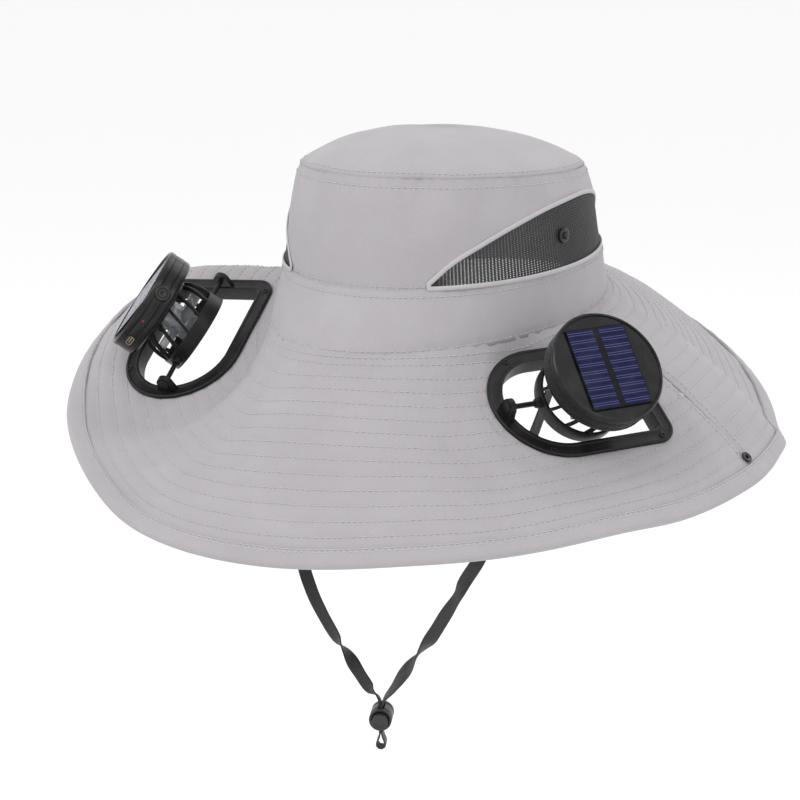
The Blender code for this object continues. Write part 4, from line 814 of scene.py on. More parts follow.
# The vents: black open polyester net set behind each window, held by a narrow folded edging of the grey
# cloth that is sewn round the opening, with a black snap stud through the middle of the net.
NET_THICKNESS = 0.6 * MM
NET_DEPTH = 0.5 * MM
NET_COLUMNS = 84
NET_ROWS = 26
NET_HOLE = 0.52
EDGING_HALF_WIDTH = 1.3 * MM
EDGING_HEIGHT = 0.55 * MM
EDGING_STATIONS = 260
STUD_SHARE = 0.41
STUD_RADIUS = 4.0 * MM


def net_mesh(name, side):
    """The net as real threads: a bent sheet with an eight-sided opening in each of its small cells."""
    azimuths = np.linspace(WINDOW_OUTLINE[0][0] + 0.4, WINDOW_OUTLINE[-1][0] - 0.4, 2 * NET_COLUMNS + 1)
    tops = open_curve([row[0] for row in WINDOW_OUTLINE], [row[1] for row in WINDOW_OUTLINE], azimuths)
    rise = np.linspace(0.0, 1.0, 2 * NET_ROWS + 1)
    share = WINDOW_BOTTOM + 0.006 + (tops[:, None] - WINDOW_BOTTOM - 0.012) * rise[None]
    azimuth = np.broadcast_to(azimuths[:, None], share.shape)
    face = wall_points(side * azimuth, share)
    away = level(face)
    sheets = [face - away * NET_DEPTH, face - away * (NET_DEPTH + NET_THICKNESS)]
    ring = ((0, 0), (1, 0), (2, 0), (2, 1), (2, 2), (1, 2), (0, 2), (0, 1))
    count = face.shape[0] * face.shape[1]
    points = [sheets[0].reshape(-1, 3), sheets[1].reshape(-1, 3)]
    cell_column, cell_row = np.meshgrid(np.arange(NET_COLUMNS), np.arange(NET_ROWS), indexing="ij")
    cell_column, cell_row = cell_column.ravel(), cell_row.ravel()
    outer = np.stack([(2 * cell_column + i) * face.shape[1] + 2 * cell_row + j for i, j in ring], axis=1)
    cells = len(cell_column)
    inner = []
    for layer, sheet in enumerate(sheets):
        flat = sheet.reshape(-1, 3)
        rim = flat[outer]
        middle = rim.mean(axis=1, keepdims=True)
        reach = np.array([0.75, 1.0] * 4)[None, :, None] * NET_HOLE
        points.append((middle + (rim - middle) * reach).reshape(-1, 3))
        inner.append(2 * count + layer * cells * 8 + np.arange(cells * 8).reshape(cells, 8))
    after = np.roll(np.arange(8), -1)
    front = np.stack([outer, outer[:, after], inner[0][:, after], inner[0]], axis=2)
    back = np.stack([outer[:, after] + count, outer + count, inner[1], inner[1][:, after]], axis=2)
    wall = np.stack([inner[0], inner[0][:, after], inner[1][:, after], inner[1]], axis=2)
    faces = np.concatenate([front.reshape(-1, 4), back.reshape(-1, 4), wall.reshape(-1, 4)])
    rim_line = [i * face.shape[1] for i in range(face.shape[0])]
    rim_line += [(face.shape[0] - 1) * face.shape[1] + j for j in range(1, face.shape[1])]
    rim_line += [i * face.shape[1] + face.shape[1] - 1 for i in range(face.shape[0] - 2, -1, -1)]
    rim_line += [j for j in range(face.shape[1] - 2, 0, -1)]
    rim = np.array(rim_line)
    border = np.stack([rim, rim + count, np.roll(rim, -1) + count, np.roll(rim, -1)], axis=1)
    mesh = bpy.data.meshes.new(name)
    mesh.from_pydata(np.concatenate(points).tolist(), [], np.concatenate([faces, border]).tolist())
    return face_outwards(mesh)


def sweep_mesh(name, line, ups, section):
    """A closed tape along a closed line. The section is (across, up) in metres."""
    run = unit(np.roll(line, -1, axis=0) - np.roll(line, 1, axis=0))
    across = unit(np.cross(ups, run))
    lift = np.cross(run, across)
    section = np.array(section)
    points = line[:, None] + across[:, None] * section[None, :, :1] + lift[:, None] * section[None, :, 1:]
    return face_outwards(grid_mesh(name, points, True, True))


def build_vent(side_name, side):
    mesh_colour = moulded_material("net_thread_" + side_name, (0.022, 0.022, 0.024), 0.6, 4000.0, 0.00003)
    add_piece(net_mesh("net_threads_" + side_name, side), mesh_colour, "hat", "net", "net_" + side_name)
    low, high = window_edges(side)
    closed = np.concatenate([low, high[::-1], low[:1]])
    reach = lengths_along(closed)
    stations = np.linspace(0.0, reach[-1], EDGING_STATIONS, endpoint=False)
    line = np.stack([np.interp(stations, reach, closed[:, axis]) for axis in range(3)], axis=1)
    angles = full_turn(12)
    section = [(EDGING_HALF_WIDTH * math.cos(angle), EDGING_HEIGHT * (0.4 + math.sin(angle))) for angle in angles]
    add_piece(sweep_mesh("vent_edging_" + side_name, line, level(line), section), edging_cotton, "hat", "cloth")


edging_cotton = woven_material("edging_cotton", (0.55, 0.53, 0.55), (0.47, 0.45, 0.47), 1400.0, 1400.0, 60.0,
                               0.0001, 0.9, Sheen_Weight=0.1)
stud_plastic = moulded_material("stud_plastic", (0.012, 0.012, 0.013), 0.28)


def build_stud(side_name, side):
    low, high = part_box("crown_stud_" + side_name)
    middle = (np.array(low) + np.array(high)) / 2.0
    out = Vector(middle * np.array([1.0, 1.0, 0.0])).normalized()
    along = Vector((0.0, 0.0, 1.0)).cross(out)
    placed = Matrix((along, out.cross(along), out)).transposed().to_4x4()
    half_width, half_depth = CROWN_RINGS["band_top"][:2]
    azimuth = np.array([math.degrees(math.atan2(middle[0] / half_width, -middle[1] / half_depth))])
    placed.translation = Vector(wall_points(azimuth, np.array([STUD_SHARE]))[0])
    placed.translation.z = middle[2]
    inside = -NET_DEPTH - NET_THICKNESS - 0.6 * MM
    profile = [(0.0, inside - 0.8 * MM), (STUD_RADIUS, inside - 0.8 * MM), (STUD_RADIUS, inside),
               (1.3 * MM, inside), (1.3 * MM, 0.4 * MM), (STUD_RADIUS, 0.4 * MM), (STUD_RADIUS, 1.4 * MM),
               (STUD_RADIUS * 0.72, 1.9 * MM), (STUD_RADIUS * 0.55, 1.5 * MM), (STUD_RADIUS * 0.45, 1.5 * MM),
               (STUD_RADIUS * 0.42, 3.0 * MM), (STUD_RADIUS * 0.3, 3.3 * MM), (0.0, 3.3 * MM)]
    mesh = lathe_mesh("vent_stud_" + side_name, profile, 48, 0.25 * MM)
    add_piece(mesh, stud_plastic, "hat", "black_plastic", "crown_stud_" + side_name, placed=placed, sharp=40.0)


for side_name, side in (("left", -1.0), ("right", 1.0)):
    build_vent(side_name, side)
    build_stud(side_name, side)


# The brim: a front and a back panel of the same cotton, doubled over a soft stiffener and quilted down by
# thirteen rows of stitches that run round it, 8.8 mm apart. The panels meet at two stitched side seams,
# and the front one is cut out under each fan.
BRIM_WIDTH = 129.0 * MM
BRIM_START = -0.8 * MM
BRIM_CLOTH = 1.7 * MM
# Azimuth, and the slopes below level at the crown, midway and at the edge, in degrees
BRIM_SECTIONS = (
    (-175.0, 5.3, 11.5, 41.3), (-150.0, -2.0, -3.0, 15.0), (-120.0, 9.0, 15.0, 20.0), (-100.0, 3.7, 8.0, 14.0),
    (-85.0, -4.0, 7.0, 24.0), (-72.0, 2.0, 11.6, 32.0), (-60.0, 32.8, 15.9, 21.0), (-48.0, 54.3, 23.2, 4.0),
    (-36.0, 62.0, 30.8, -4.0), (-24.0, 60.0, 36.6, 4.0), (-10.0, 43.1, 42.4, 25.0), (10.0, 27.0, 44.4, 44.0),
    (30.0, 35.9, 36.9, 36.8), (48.0, 54.0, 31.6, 27.5), (62.0, 57.0, 26.2, 31.8), (76.0, 44.2, 29.6, 42.8),
    (92.0, 30.3, 35.7, 40.7), (110.0, 19.8, 32.8, 60.7), (135.0, 30.8, 47.8, 33.0),
)
SLOPE_STEPS = 10
FRONT_SEAM_LEFT = -89.1
FRONT_SEAM_RIGHT = 95.8
SEAM_FOLD = 0.7 * MM
SEAM_FOLD_DEGREES = 0.35
RELAX_STEPS = 120
VALLEY_AZIMUTHS = (-6.0, -24.0)
VALLEY_HALF_SPAN = 7.0
VALLEY_DEPTH = 1.5 * MM
QUILT_ROWS = 14.7
QUILT_STITCHED = 13
QUILT_STEPS = 6
QUILT_RISE = 0.42 * MM
QUILT_SINK = 0.3 * MM
QUILT_POWER = 0.8
BRIM_CREASE = 0.9 * MM
BRIM_CREASE_SIZE = 34.0 * MM
BRIM_PUCKER = 0.14 * MM
BRIM_PUCKER_PITCH = 6.3 * MM
STITCH_MARGIN = 0.3 * MM
FRONT_COLUMNS = 330
BACK_COLUMNS = 280
# The fans' seats: place, lean, heading of the round end, tilt, the side it tilts to, and its half turn
FAN_SEATS = {
    "left": ((-124.8, -67.2, -26.2), (0.05, -0.68), -80.0, 42.0, 1.0, 0.0),
    "right": ((110.8, -42.5, -32.8), (0.66, -0.35), -115.5, 15.0, -1.0, 180.0),
}
SEAT_FLAT_MARGIN = 9.0 * MM
SEAT_BLEND = 30.0 * MM
SEAT_HOLD = 0.3
SEAT_EASE = 0.8
SEAT_REACH = 12.0 * MM
SEAM_FREE_SHARE = 0.03
FLANGE_LENGTH = 94.0 * MM
FLANGE_WIDTH = 71.0 * MM
FLANGE_RIM = 8.0 * MM
FLANGE_CORNER = 11.0 * MM
COLLAR_WALL = 1.6 * MM


def seat_frame(side_name):
    """A fan's seat: x towards the flange's round end, z out of the brim, origin on the cloth."""
    place, lean, heading = FAN_SEATS[side_name][:3]
    up = Vector((*lean, 1.0)).normalized()
    along = Vector((math.cos(math.radians(heading)), math.sin(math.radians(heading)), 0.0))
    along = (along - up * along.dot(up)).normalized()
    placed = Matrix((along, up.cross(along), up)).transposed().to_4x4()
    placed.translation = Vector(place) * MM
    return placed


SEAT_PLACES = {side_name: seat_frame(side_name) for side_name in FAN_SEATS}


def in_seat(placed, points):
    turned = np.array(placed.inverted())
    return points @ turned[:3, :3].T + turned[:3, 3]


def outside_flange(local):
    """How far points of a seat's plane lie outside the flange's outline."""
    radius = FLANGE_WIDTH / 2.0
    front = FLANGE_LENGTH / 2.0 - radius
    x, y = local[..., 0], local[..., 1]
    beside = np.maximum(np.abs(y) - radius, 0.0)
    behind = np.maximum(-FLANGE_LENGTH / 2.0 - x, 0.0)
    round_end = np.maximum(np.hypot(x - front, y) - radius, 0.0)
    return np.where(x > front, round_end, np.hypot(beside, behind))


def closed_curve(column, azimuth):
    """Values of a smooth closed curve of azimuth through one column of the brim's sections."""
    knots = np.array([row[0] for row in BRIM_SECTIONS])
    values = np.array([row[column] for row in BRIM_SECTIONS])
    span = (np.roll(knots, -1) - knots) % 360.0
    slopes = (np.roll(values, -1) - np.roll(values, 1)) / (span + np.roll(span, 1))
    turned = (azimuth - knots[0]) % 360.0 + knots[0]
    place = np.clip(np.searchsorted(knots, turned, side="right") - 1, 0, len(knots) - 1)
    after = (place + 1) % len(knots)
    ends = (values[place], values[after], slopes[place], slopes[after])
    return hermite(*ends, span[place], turned - knots[place])


def brim_points(azimuth, share):
    """The brim's upper face, from the crown's seam at share 0 to the edge at share 1."""
    azimuth, share = np.broadcast_arrays(np.asarray(azimuth, float), np.asarray(share, float))
    slopes = [np.radians(closed_curve(column, azimuth)) for column in (1, 2, 3)]
    step = share * BRIM_WIDTH / SLOPE_STEPS
    reach = np.zeros_like(share)
    drop = np.zeros_like(share)
    for place in range(SLOPE_STEPS):
        where = 2.0 * share * (place + 0.5) / SLOPE_STEPS
        slope = np.where(where >= 1.0, slopes[1] + (slopes[2] - slopes[1]) * (where - 1.0),
                         slopes[0] + (slopes[1] - slopes[0]) * where)
        reach = reach + np.cos(slope) * step
        drop = drop + np.sin(slope) * step
    angle = np.radians(azimuth)
    half_width, half_depth = CROWN_RINGS["base"][:2]
    across, ahead = np.sin(angle) / half_width, -np.cos(angle) / half_depth
    outward = unit(np.stack([across, ahead, np.zeros_like(angle)], axis=-1))
    points = ring_points("base", azimuth) + outward * reach[..., None]
    middle = VALLEY_AZIMUTHS[0] + (VALLEY_AZIMUTHS[1] - VALLEY_AZIMUTHS[0]) * share
    valley = VALLEY_DEPTH * bell(turn_between(azimuth, middle), VALLEY_HALF_SPAN)
    valley = valley * smooth_step(share * 4.0) * (1.0 - smooth_step((share - 0.6) * 2.5))
    points[..., 2] -= drop + valley
    for placed in SEAT_PLACES.values():
        local = in_seat(placed, points)
        weight = 1.0 - smooth_step((outside_flange(local) - SEAT_FLAT_MARGIN) / SEAT_BLEND)
        weight = weight * smooth_step(share / SEAM_FREE_SHARE)
        weight = weight * (1.0 - smooth_step((np.abs(local[..., 2]) / SEAT_BLEND - SEAT_HOLD) / SEAT_EASE))
        local[..., 2] *= 1.0 - weight
        turned = np.array(placed)
        points = np.where(weight[..., None] > 0.0, local @ turned[:3, :3].T + turned[:3, 3], points)
    return points


def under_flange(points, margin):
    """Which points lie under either fan's flange, within the margin outside it."""
    found = np.zeros(points.shape[:-1], bool)
    for placed in SEAT_PLACES.values():
        local = in_seat(placed, points)
        found |= (outside_flange(local) < margin) & (np.abs(local[..., 2]) < SEAT_REACH)
    return found


def relax_cloth(points, share):
    """Let the cloth between the crown and the fans' frames hang in soft turns, as it can't hold a sharp lip."""
    loose = ~under_flange(points, 1.5 * MM) * (1.0 - smooth_step((share - 0.2) / 0.15)) * 0.5
    loose[0] = loose[-1] = 0.0
    loose[:, 0] = 0.0
    for _ in range(RELAX_STEPS):
        mean = sum(np.roll(points, step, axis) for axis in (0, 1) for step in (1, -1)) / 4.0
        points = points + (mean - points) * loose[..., None]
    return points


def flange_outline(offset, round_steps=56, corner_steps=8):
    """The flange's outline moved out by an offset from its opening: a half circle and two rounded corners."""
    offset = offset - FLANGE_RIM
    radius = FLANGE_WIDTH / 2.0 + offset
    front = FLANGE_LENGTH / 2.0 - FLANGE_WIDTH / 2.0
    back = -FLANGE_LENGTH / 2.0 - offset
    corner = max(FLANGE_CORNER + offset, 2.0 * MM)
    outline = []
    for step in range(round_steps + 1):
        angle = -math.pi / 2.0 + math.pi * step / round_steps
        outline.append((front + radius * math.cos(angle), radius * math.sin(angle)))
    for side, start in ((1.0, math.pi / 2.0), (-1.0, math.pi)):
        for step in range(corner_steps + 1):
            angle = start + math.pi / 2.0 * step / corner_steps
            outline.append((back + corner + corner * math.cos(angle),
                            side * (radius - corner) + corner * math.sin(angle)))
    return np.array(outline)


def prism_mesh(name, outline, low, high):
    outline = np.asarray(outline)
    loops = np.stack([np.column_stack([outline, np.full(len(outline), height)]) for height in (low, high)])
    mesh = grid_mesh(name, loops, True, False, True)
    mesh.polygons.foreach_set("use_smooth", [False] * len(mesh.polygons))
    return face_outwards(mesh)


def build_brim_panel(name, first, last, columns, node, seed):
    azimuths = np.linspace(first, last, columns)
    phases = np.arange(1, int(QUILT_ROWS * QUILT_STEPS) + 1) / QUILT_STEPS
    shares = np.concatenate([[BRIM_START / BRIM_WIDTH], phases / QUILT_ROWS, [1.0]])
    azimuth, share = np.meshgrid(azimuths, shares, indexing="ij")
    smooth_top = relax_cloth(brim_points(azimuth, share), share)
    up = grid_normals(smooth_top, False)
    up = np.where(up[..., 2:] < 0.0, -up, up)
    free = ~under_flange(smooth_top, 5.0 * MM)
    phase = share * QUILT_ROWS
    puff = np.abs(np.sin(math.pi * phase)) ** QUILT_POWER * QUILT_RISE - QUILT_SINK
    reach = np.radians(azimuth) * (CROWN_RINGS["base"][0] + BRIM_WIDTH * share)
    pucker = np.sin(reach / BRIM_PUCKER_PITCH * 2.0 * math.pi + 2.0 * np.sin(phase * 2.1))
    pucker = pucker * BRIM_PUCKER * bell((phase + 0.5) % 1.0 - 0.5, 0.3)
    crease = BRIM_CREASE * soft_creases(smooth_top, BRIM_CREASE_SIZE, seed)
    crease += 0.4 * BRIM_CREASE * soft_creases(smooth_top, BRIM_CREASE_SIZE * 0.35, seed + 2.0)
    slack = smooth_step(share * 12.0) * smooth_step((1.0 - share) * 14.0)
    relief = puff + np.where(free, pucker + crease * slack, 0.0)
    relief -= SEAM_FOLD * bell(np.minimum(azimuth - first, last - azimuth), SEAM_FOLD_DEGREES)
    top = smooth_top + up * relief[..., None]
    bottom = smooth_top - up * (BRIM_CLOTH + np.where(free, -crease * slack, 0.0))[..., None]
    ring = np.concatenate([top, bottom[:, ::-1]], axis=1)
    mesh = face_outwards(grid_mesh(name, ring, True, False, True))
    panel = place_object(name, mesh, brim_cotton)
    if node == "brim_front":
        outline = flange_outline(COLLAR_WALL + 2.0 * SEAM_GAP)
        for placed in SEAT_PLACES.values():
            combine(panel, prism_mesh("opening", outline, -0.03, 0.03), placed, "DIFFERENCE")
    crisp(panel, 60.0)
    finish_piece(panel, "hat", "cloth", node)
    places = [row * QUILT_STEPS for row in range(1, QUILT_STITCHED + 1)] + [QUILT_STEPS // 2]
    rows = [stitch_row(top[2:-2, place], up[2:-2, place], lambda points: ~under_flange(points, STITCH_MARGIN))
            for place in places]
    rows += [stitch_row(top[column, 2:-7], up[column, 2:-7]) for column in (2, columns - 3)]
    sew(name + "_stitches", rows, brim_thread)


brim_cotton = woven_material("brim_cotton", CLOTH_LIGHT, CLOTH_DARK, CLOTH_THREADS, CLOTH_THREADS, 28.0, 0.00012,
                             0.92, Sheen_Weight=0.12)
brim_thread = woven_material("brim_thread", (0.64, 0.62, 0.64), (0.52, 0.50, 0.52), 2500.0, 2500.0, 120.0, 0.00005,
                             0.8)
build_brim_panel("brim_front_cloth", FRONT_SEAM_LEFT, FRONT_SEAM_RIGHT, FRONT_COLUMNS, "brim_front", 5.0)
build_brim_panel("brim_back_cloth", FRONT_SEAM_RIGHT, FRONT_SEAM_LEFT + 360.0, BACK_COLUMNS, "brim_back", 23.0)


# The binding: a tape of the same cotton cut on the bias, folded over the brim's edge and sewn through with
# two close rows. A black snap sits by it at each side seam, to hold the brim up against the crown's stud.
BINDING_WIDTH = 8.0 * MM
BINDING_CLOTH = 0.9 * MM
BINDING_LIFT = 0.45 * MM
BINDING_COLUMNS = 620
BINDING_ROWS_IN = (5.9 * MM, 7.4 * MM)
SNAP_SHARE = 0.908
SNAP_RADIUS = 3.2 * MM
SNAP_TUBE_RADIUS = 1.9 * MM
SNAP_BORE = 1.2 * MM


def build_binding():
    azimuths = np.linspace(-180.0, 180.0, BINDING_COLUMNS, endpoint=False)
    width = BINDING_WIDTH / BRIM_WIDTH
    shares = 1.0 - width * np.array([1.0, 0.75, 0.5, 0.25, 0.0])
    azimuth, share = np.meshgrid(azimuths, shares, indexing="ij")
    points = brim_points(azimuth, share)
    up = grid_normals(points, True)
    up = np.where(up[..., 2:] < 0.0, -up, up)
    out = unit(points[:, -1] - points[:, -2])
    waves = 0.12 * MM * np.sin(np.radians(azimuths) * 97.0)
    waves = waves + 0.25 * MM * soft_creases(points[:, 2], 20.0 * MM, 9.0)
    rise = BINDING_LIFT + BINDING_CLOTH
    heights = np.array([0.8, 1.0, 1.12, 1.1, 1.0]) * rise
    above = points + up * (heights[None, :, None] + waves[:, None, None])
    below = points - up * (BRIM_CLOTH + heights[None, :, None])
    edge = points[:, -1] - up[:, -1] * (BRIM_CLOTH / 2.0)
    half = BRIM_CLOTH / 2.0 + rise
    fold = []
    for angle in (60.0, 30.0, 0.0, -30.0, -60.0):
        turned = math.radians(angle)
        fold.append(edge + out * (math.cos(turned) * (rise + 0.6 * MM)) + up[:, -1] * (math.sin(turned) * half))
    slot = [points[:, row] + up[:, row] * height
            for row, height in ((0, -BRIM_CLOTH - BINDING_LIFT * 0.5), (-1, -BRIM_CLOTH - BINDING_LIFT * 0.5),
                                (-1, BINDING_LIFT * 0.3), (0, BINDING_LIFT * 0.3))]
    ring = np.concatenate([above, np.stack(fold, axis=1), below[:, ::-1], np.stack(slot, axis=1)], axis=1)
    mesh = face_outwards(grid_mesh("brim_binding_tape", ring, True, True))
    add_piece(mesh, brim_cotton, "hat", "cloth", "brim_binding", sharp=60.0)
    rows = []
    for inward in BINDING_ROWS_IN:
        share = 1.0 - inward / BINDING_WIDTH * width
        line = brim_points(azimuths, np.full_like(azimuths, share))
        line = line + up[:, 1] * (rise * 0.86 + waves)[:, None]
        rows.append(stitch_row(np.concatenate([line, line[:1]]), np.concatenate([up[:, 1], up[:1, 1]])))
    sew("binding_stitches", rows, brim_thread)


def ring_lathe_mesh(name, profile, steps, radius=0.2 * MM):
    """A turned ring with an open middle. The profile is a closed line of (radius, height)."""
    line = round_corners([profile[-1], *profile, profile[0]], radius)[1:-1]
    angles = full_turn(steps)
    loops = [np.stack([r * np.cos(angles), r * np.sin(angles), np.full(steps, z)], axis=1) for r, z in line]
    return face_outwards(grid_mesh(name, np.stack(loops), True, True))


def build_snap(side_name, azimuth):
    top_point = brim_points([azimuth], [SNAP_SHARE])[0]
    beside = brim_points([azimuth + 1.0], [SNAP_SHARE])[0]
    beyond = brim_points([azimuth], [SNAP_SHARE + 0.01])[0]
    along = Vector(beside - top_point).normalized()
    up = along.cross(Vector(beyond - top_point)).normalized()
    up = up if up.z > 0.0 else -up
    across = up.cross(along).normalized()
    placed = Matrix((across.cross(up), across, up)).transposed().to_4x4()
    placed.translation = Vector(top_point)
    top, bottom = 0.95 * MM, -BRIM_CLOTH - 0.95 * MM
    profile = ((SNAP_BORE, top + 0.5 * MM), (SNAP_BORE, bottom - 0.5 * MM), (SNAP_RADIUS * 0.6, bottom - 0.6 * MM),
               (SNAP_RADIUS * 0.82, bottom - 1.0 * MM), (SNAP_RADIUS, bottom - 0.5 * MM), (SNAP_RADIUS, bottom),
               (SNAP_TUBE_RADIUS, bottom), (SNAP_TUBE_RADIUS, top), (SNAP_RADIUS, top),
               (SNAP_RADIUS, top + 0.5 * MM), (SNAP_RADIUS * 0.82, top + 1.0 * MM),
               (SNAP_RADIUS * 0.6, top + 0.6 * MM))
    add_piece(ring_lathe_mesh("snap_ring_" + side_name, profile, 48), stud_plastic, "hat", "black_plastic",
              "snap_" + side_name, placed=placed, sharp=40.0)


build_binding()
build_snap("left", FRONT_SEAM_LEFT)
build_snap("right", FRONT_SEAM_RIGHT)


# The fans' frames: a black moulded flange screwed through the brim to a clamp ring under it. Two ears stand
# on the flange's rim, and the fan's cage tilts between them on two pins.
PIECE_GAP = 0.3 * MM
FLANGE_THICKNESS = 2.0 * MM
COLLAR_DEPTH = 7.0 * MM
CLAMP_INSET = 4.0 * MM
CLAMP_THICKNESS = 1.8 * MM
SCREW_RADIUS = 1.9 * MM
SCREW_SUNK = 0.7 * MM
SCREW_PLACES = ((-38.0 * MM, 31.5 * MM), (-38.0 * MM, -31.5 * MM), (26.0 * MM, 29.5 * MM), (26.0 * MM, -29.5 * MM))
FRAME_ROUND = 0.3 * MM
HINGE_HEIGHT = 7.0 * MM
HINGE_OFFSET = 3.2 * MM
EAR_THICKNESS = 3.0 * MM
EAR_WIDTH = 11.0 * MM
EAR_TOP = 4.5 * MM
EAR_INSET = 0.6 * MM
EAR_WEB = 2.0 * MM
BOSS_PROFILE = ((0.0, 0.0), (3.1 * MM, 0.0), (3.1 * MM, 0.8 * MM), (2.2 * MM, 1.2 * MM), (0.0, 1.2 * MM))
STILL = Matrix.Identity(4)
frame_plastic = moulded_material("frame_plastic", (0.009, 0.009, 0.0095), 0.36, 1800.0, 0.00004,
                                 Specular_IOR_Level=0.22)


def merge_meshes(name, meshes):
    """One mesh of several, each given with its place."""
    work = bmesh.new()
    for mesh, placed in meshes:
        part = mesh.copy()
        part.transform(placed)
        work.from_mesh(part)
        bpy.data.meshes.remove(part)
    merged = bpy.data.meshes.new(name)
    work.to_mesh(merged)
    work.free()
    return merged


def outline_ring_mesh(name, section, radius):
    """A ring on the flange's outline. The section is a closed line of (offset, height)."""
    line = round_corners([section[-1], *section, section[0]], radius)[1:-1]
    loops = []
    for offset, height in line:
        outline = flange_outline(offset)
        loops.append(np.column_stack([outline, np.full(len(outline), height)]))
    return face_outwards(grid_mesh(name, np.stack(loops), True, True))


def ear_mesh(direction):
    """An ear that holds one of the cage's pins: a plate with a round top and a small boss on its outer face."""
    half = EAR_WIDTH / 2.0
    foot = -HINGE_HEIGHT + PIECE_GAP + 1.0 * MM
    outline = [(-half, foot), (half, foot), (half, foot + EAR_WEB)]
    outline += [(EAR_TOP * math.cos(angle), EAR_TOP * math.sin(angle)) for angle in np.linspace(0.0, math.pi, 25)]
    outline.append((-half, foot + EAR_WEB))
    start = direction * (FLANGE_LENGTH / 2.0 - FLANGE_RIM + EAR_INSET)
    quarter = direction * math.pi / 2.0
    stand = Matrix.Translation((start, HINGE_OFFSET, HINGE_HEIGHT)) @ Matrix.Rotation(quarter, 4, "Y")
    stand = stand @ Matrix.Rotation(quarter, 4, "Z")
    seated = stand @ Matrix.Translation((0.0, 0.0, EAR_THICKNESS - 0.2 * MM))
    plate = prism_mesh("ear", outline, 0.0, EAR_THICKNESS)
    return merge_meshes("ear", ((plate, stand), (lathe_mesh("boss", BOSS_PROFILE, 32, FRAME_ROUND), seated)))


def build_flange(side_name):
    placed = SEAT_PLACES[side_name]
    top = PIECE_GAP + FLANGE_THICKNESS
    section = ((0.0, -COLLAR_DEPTH), (COLLAR_WALL, -COLLAR_DEPTH), (COLLAR_WALL, PIECE_GAP), (FLANGE_RIM, PIECE_GAP),
               (FLANGE_RIM, top - 0.6 * MM), (FLANGE_RIM - 0.7 * MM, top - 0.1 * MM),
               (FLANGE_RIM - 1.7 * MM, top - 0.1 * MM), (FLANGE_RIM - 2.1 * MM, top - 0.5 * MM),
               (1.9 * MM, top - 0.5 * MM), (1.5 * MM, top), (0.0, top))
    parts = [(mesh, STILL) for mesh in (outline_ring_mesh("flange_ring", section, FRAME_ROUND), ear_mesh(1.0),
                                        ear_mesh(-1.0))]
    screw = ring_lathe_mesh("screw", ((0.5 * MM, 0.0), (SCREW_RADIUS, 0.0), (SCREW_RADIUS, 0.5 * MM),
                                      (SCREW_RADIUS * 0.8, 0.8 * MM), (0.9 * MM, 0.8 * MM), (0.5 * MM, 0.3 * MM)), 24)
    parts += [(screw, Matrix.Translation((x, y, top - SCREW_SUNK))) for x, y in SCREW_PLACES]
    add_piece(merge_meshes("flange_frame_" + side_name, parts), frame_plastic, "hat", "black_plastic",
              "flange_" + side_name, placed=placed, sharp=40.0)
    low = -BRIM_CLOTH - PIECE_GAP
    inner, outer = COLLAR_WALL + PIECE_GAP, FLANGE_RIM - CLAMP_INSET
    section = ((inner, low), (inner, low - CLAMP_THICKNESS), (outer, low - CLAMP_THICKNESS), (outer, low))
    add_piece(outline_ring_mesh("clamp_frame_" + side_name, section, FRAME_ROUND), frame_plastic, "hat",
              "black_plastic", "clamp_ring_" + side_name, placed=placed, sharp=40.0)


# The cages: a band round each rotor, twelve ribs that sweep up from it, and a plate that carries the solar
# case, moulded in one piece of black plastic with the two hinge pins.
BAND_RADIUS = 23.4 * MM
BAND_WALL = 1.6 * MM
BAND_HEIGHT = 8.4 * MM
RIB_COUNT = 12
RIB_WIDTH = 1.8 * MM
RIB_DEPTH = 2.4 * MM
RIB_SWEEP = 16.0
RIB_LINE = ((21.9 * MM, 2.8 * MM), (21.7 * MM, 9.0 * MM), (20.3 * MM, 15.6 * MM), (17.6 * MM, 20.1 * MM))
RIB_STATIONS = 16
PLATE_RADIUS = 19.2 * MM
PLATE_BOTTOM = 19.0 * MM
PLATE_TOP = 21.2 * MM
AXLE_RADIUS = 1.5 * MM
AXLE_BOTTOM = 9.0 * MM
PIN_RADIUS = 1.4 * MM
UP = np.array([0.0, 0.0, 1.0])


def fan_place(side_name):
    """The fan's frame on the hinge: x along it, z along the fan's own axis."""
    _, _, _, tilt, sign, turned = FAN_SEATS[side_name]
    hinge = SEAT_PLACES[side_name] @ Matrix.Translation((0.0, HINGE_OFFSET, HINGE_HEIGHT))
    hinge = hinge @ Matrix.Rotation(math.radians(tilt * sign), 4, "X")
    return hinge @ Matrix.Rotation(math.radians(turned), 4, "Z")


FAN_PLACES = {side_name: fan_place(side_name) for side_name in FAN_SEATS}


def directions_at(turns):
    """The directions out of the fan's axis and round it, at each turn."""
    level_turns = np.zeros_like(turns)
    return (np.stack([np.cos(turns), np.sin(turns), level_turns], axis=1),
            np.stack([-np.sin(turns), np.cos(turns), level_turns], axis=1))


def rib_mesh(angle):
    """One rib with a rounded section, swept round a little as it rises."""
    shares = np.linspace(0.0, 1.0, RIB_STATIONS)
    knots = np.linspace(0.0, 1.0, len(RIB_LINE))
    radius = open_curve(knots, [row[0] for row in RIB_LINE], shares)
    height = open_curve(knots, [row[1] for row in RIB_LINE], shares)
    radial, side = directions_at(angle + math.radians(RIB_SWEEP) * shares)
    run = unit(np.stack([np.gradient(radius), np.gradient(height)], axis=1))
    thick = radial * run[:, 1:] - UP * run[:, :1]
    middle = radial * radius[:, None] + UP * height[:, None]
    angles = full_turn(12)
    wide = np.sign(np.cos(angles)) * np.abs(np.cos(angles)) ** 0.6 * RIB_WIDTH / 2.0
    deep = np.sign(np.sin(angles)) * np.abs(np.sin(angles)) ** 0.6 * RIB_DEPTH / 2.0
    points = middle[:, None] + side[:, None] * wide[None, :, None] + thick[:, None] * deep[None, :, None]
    return face_outwards(grid_mesh("rib", points, True, False, True))


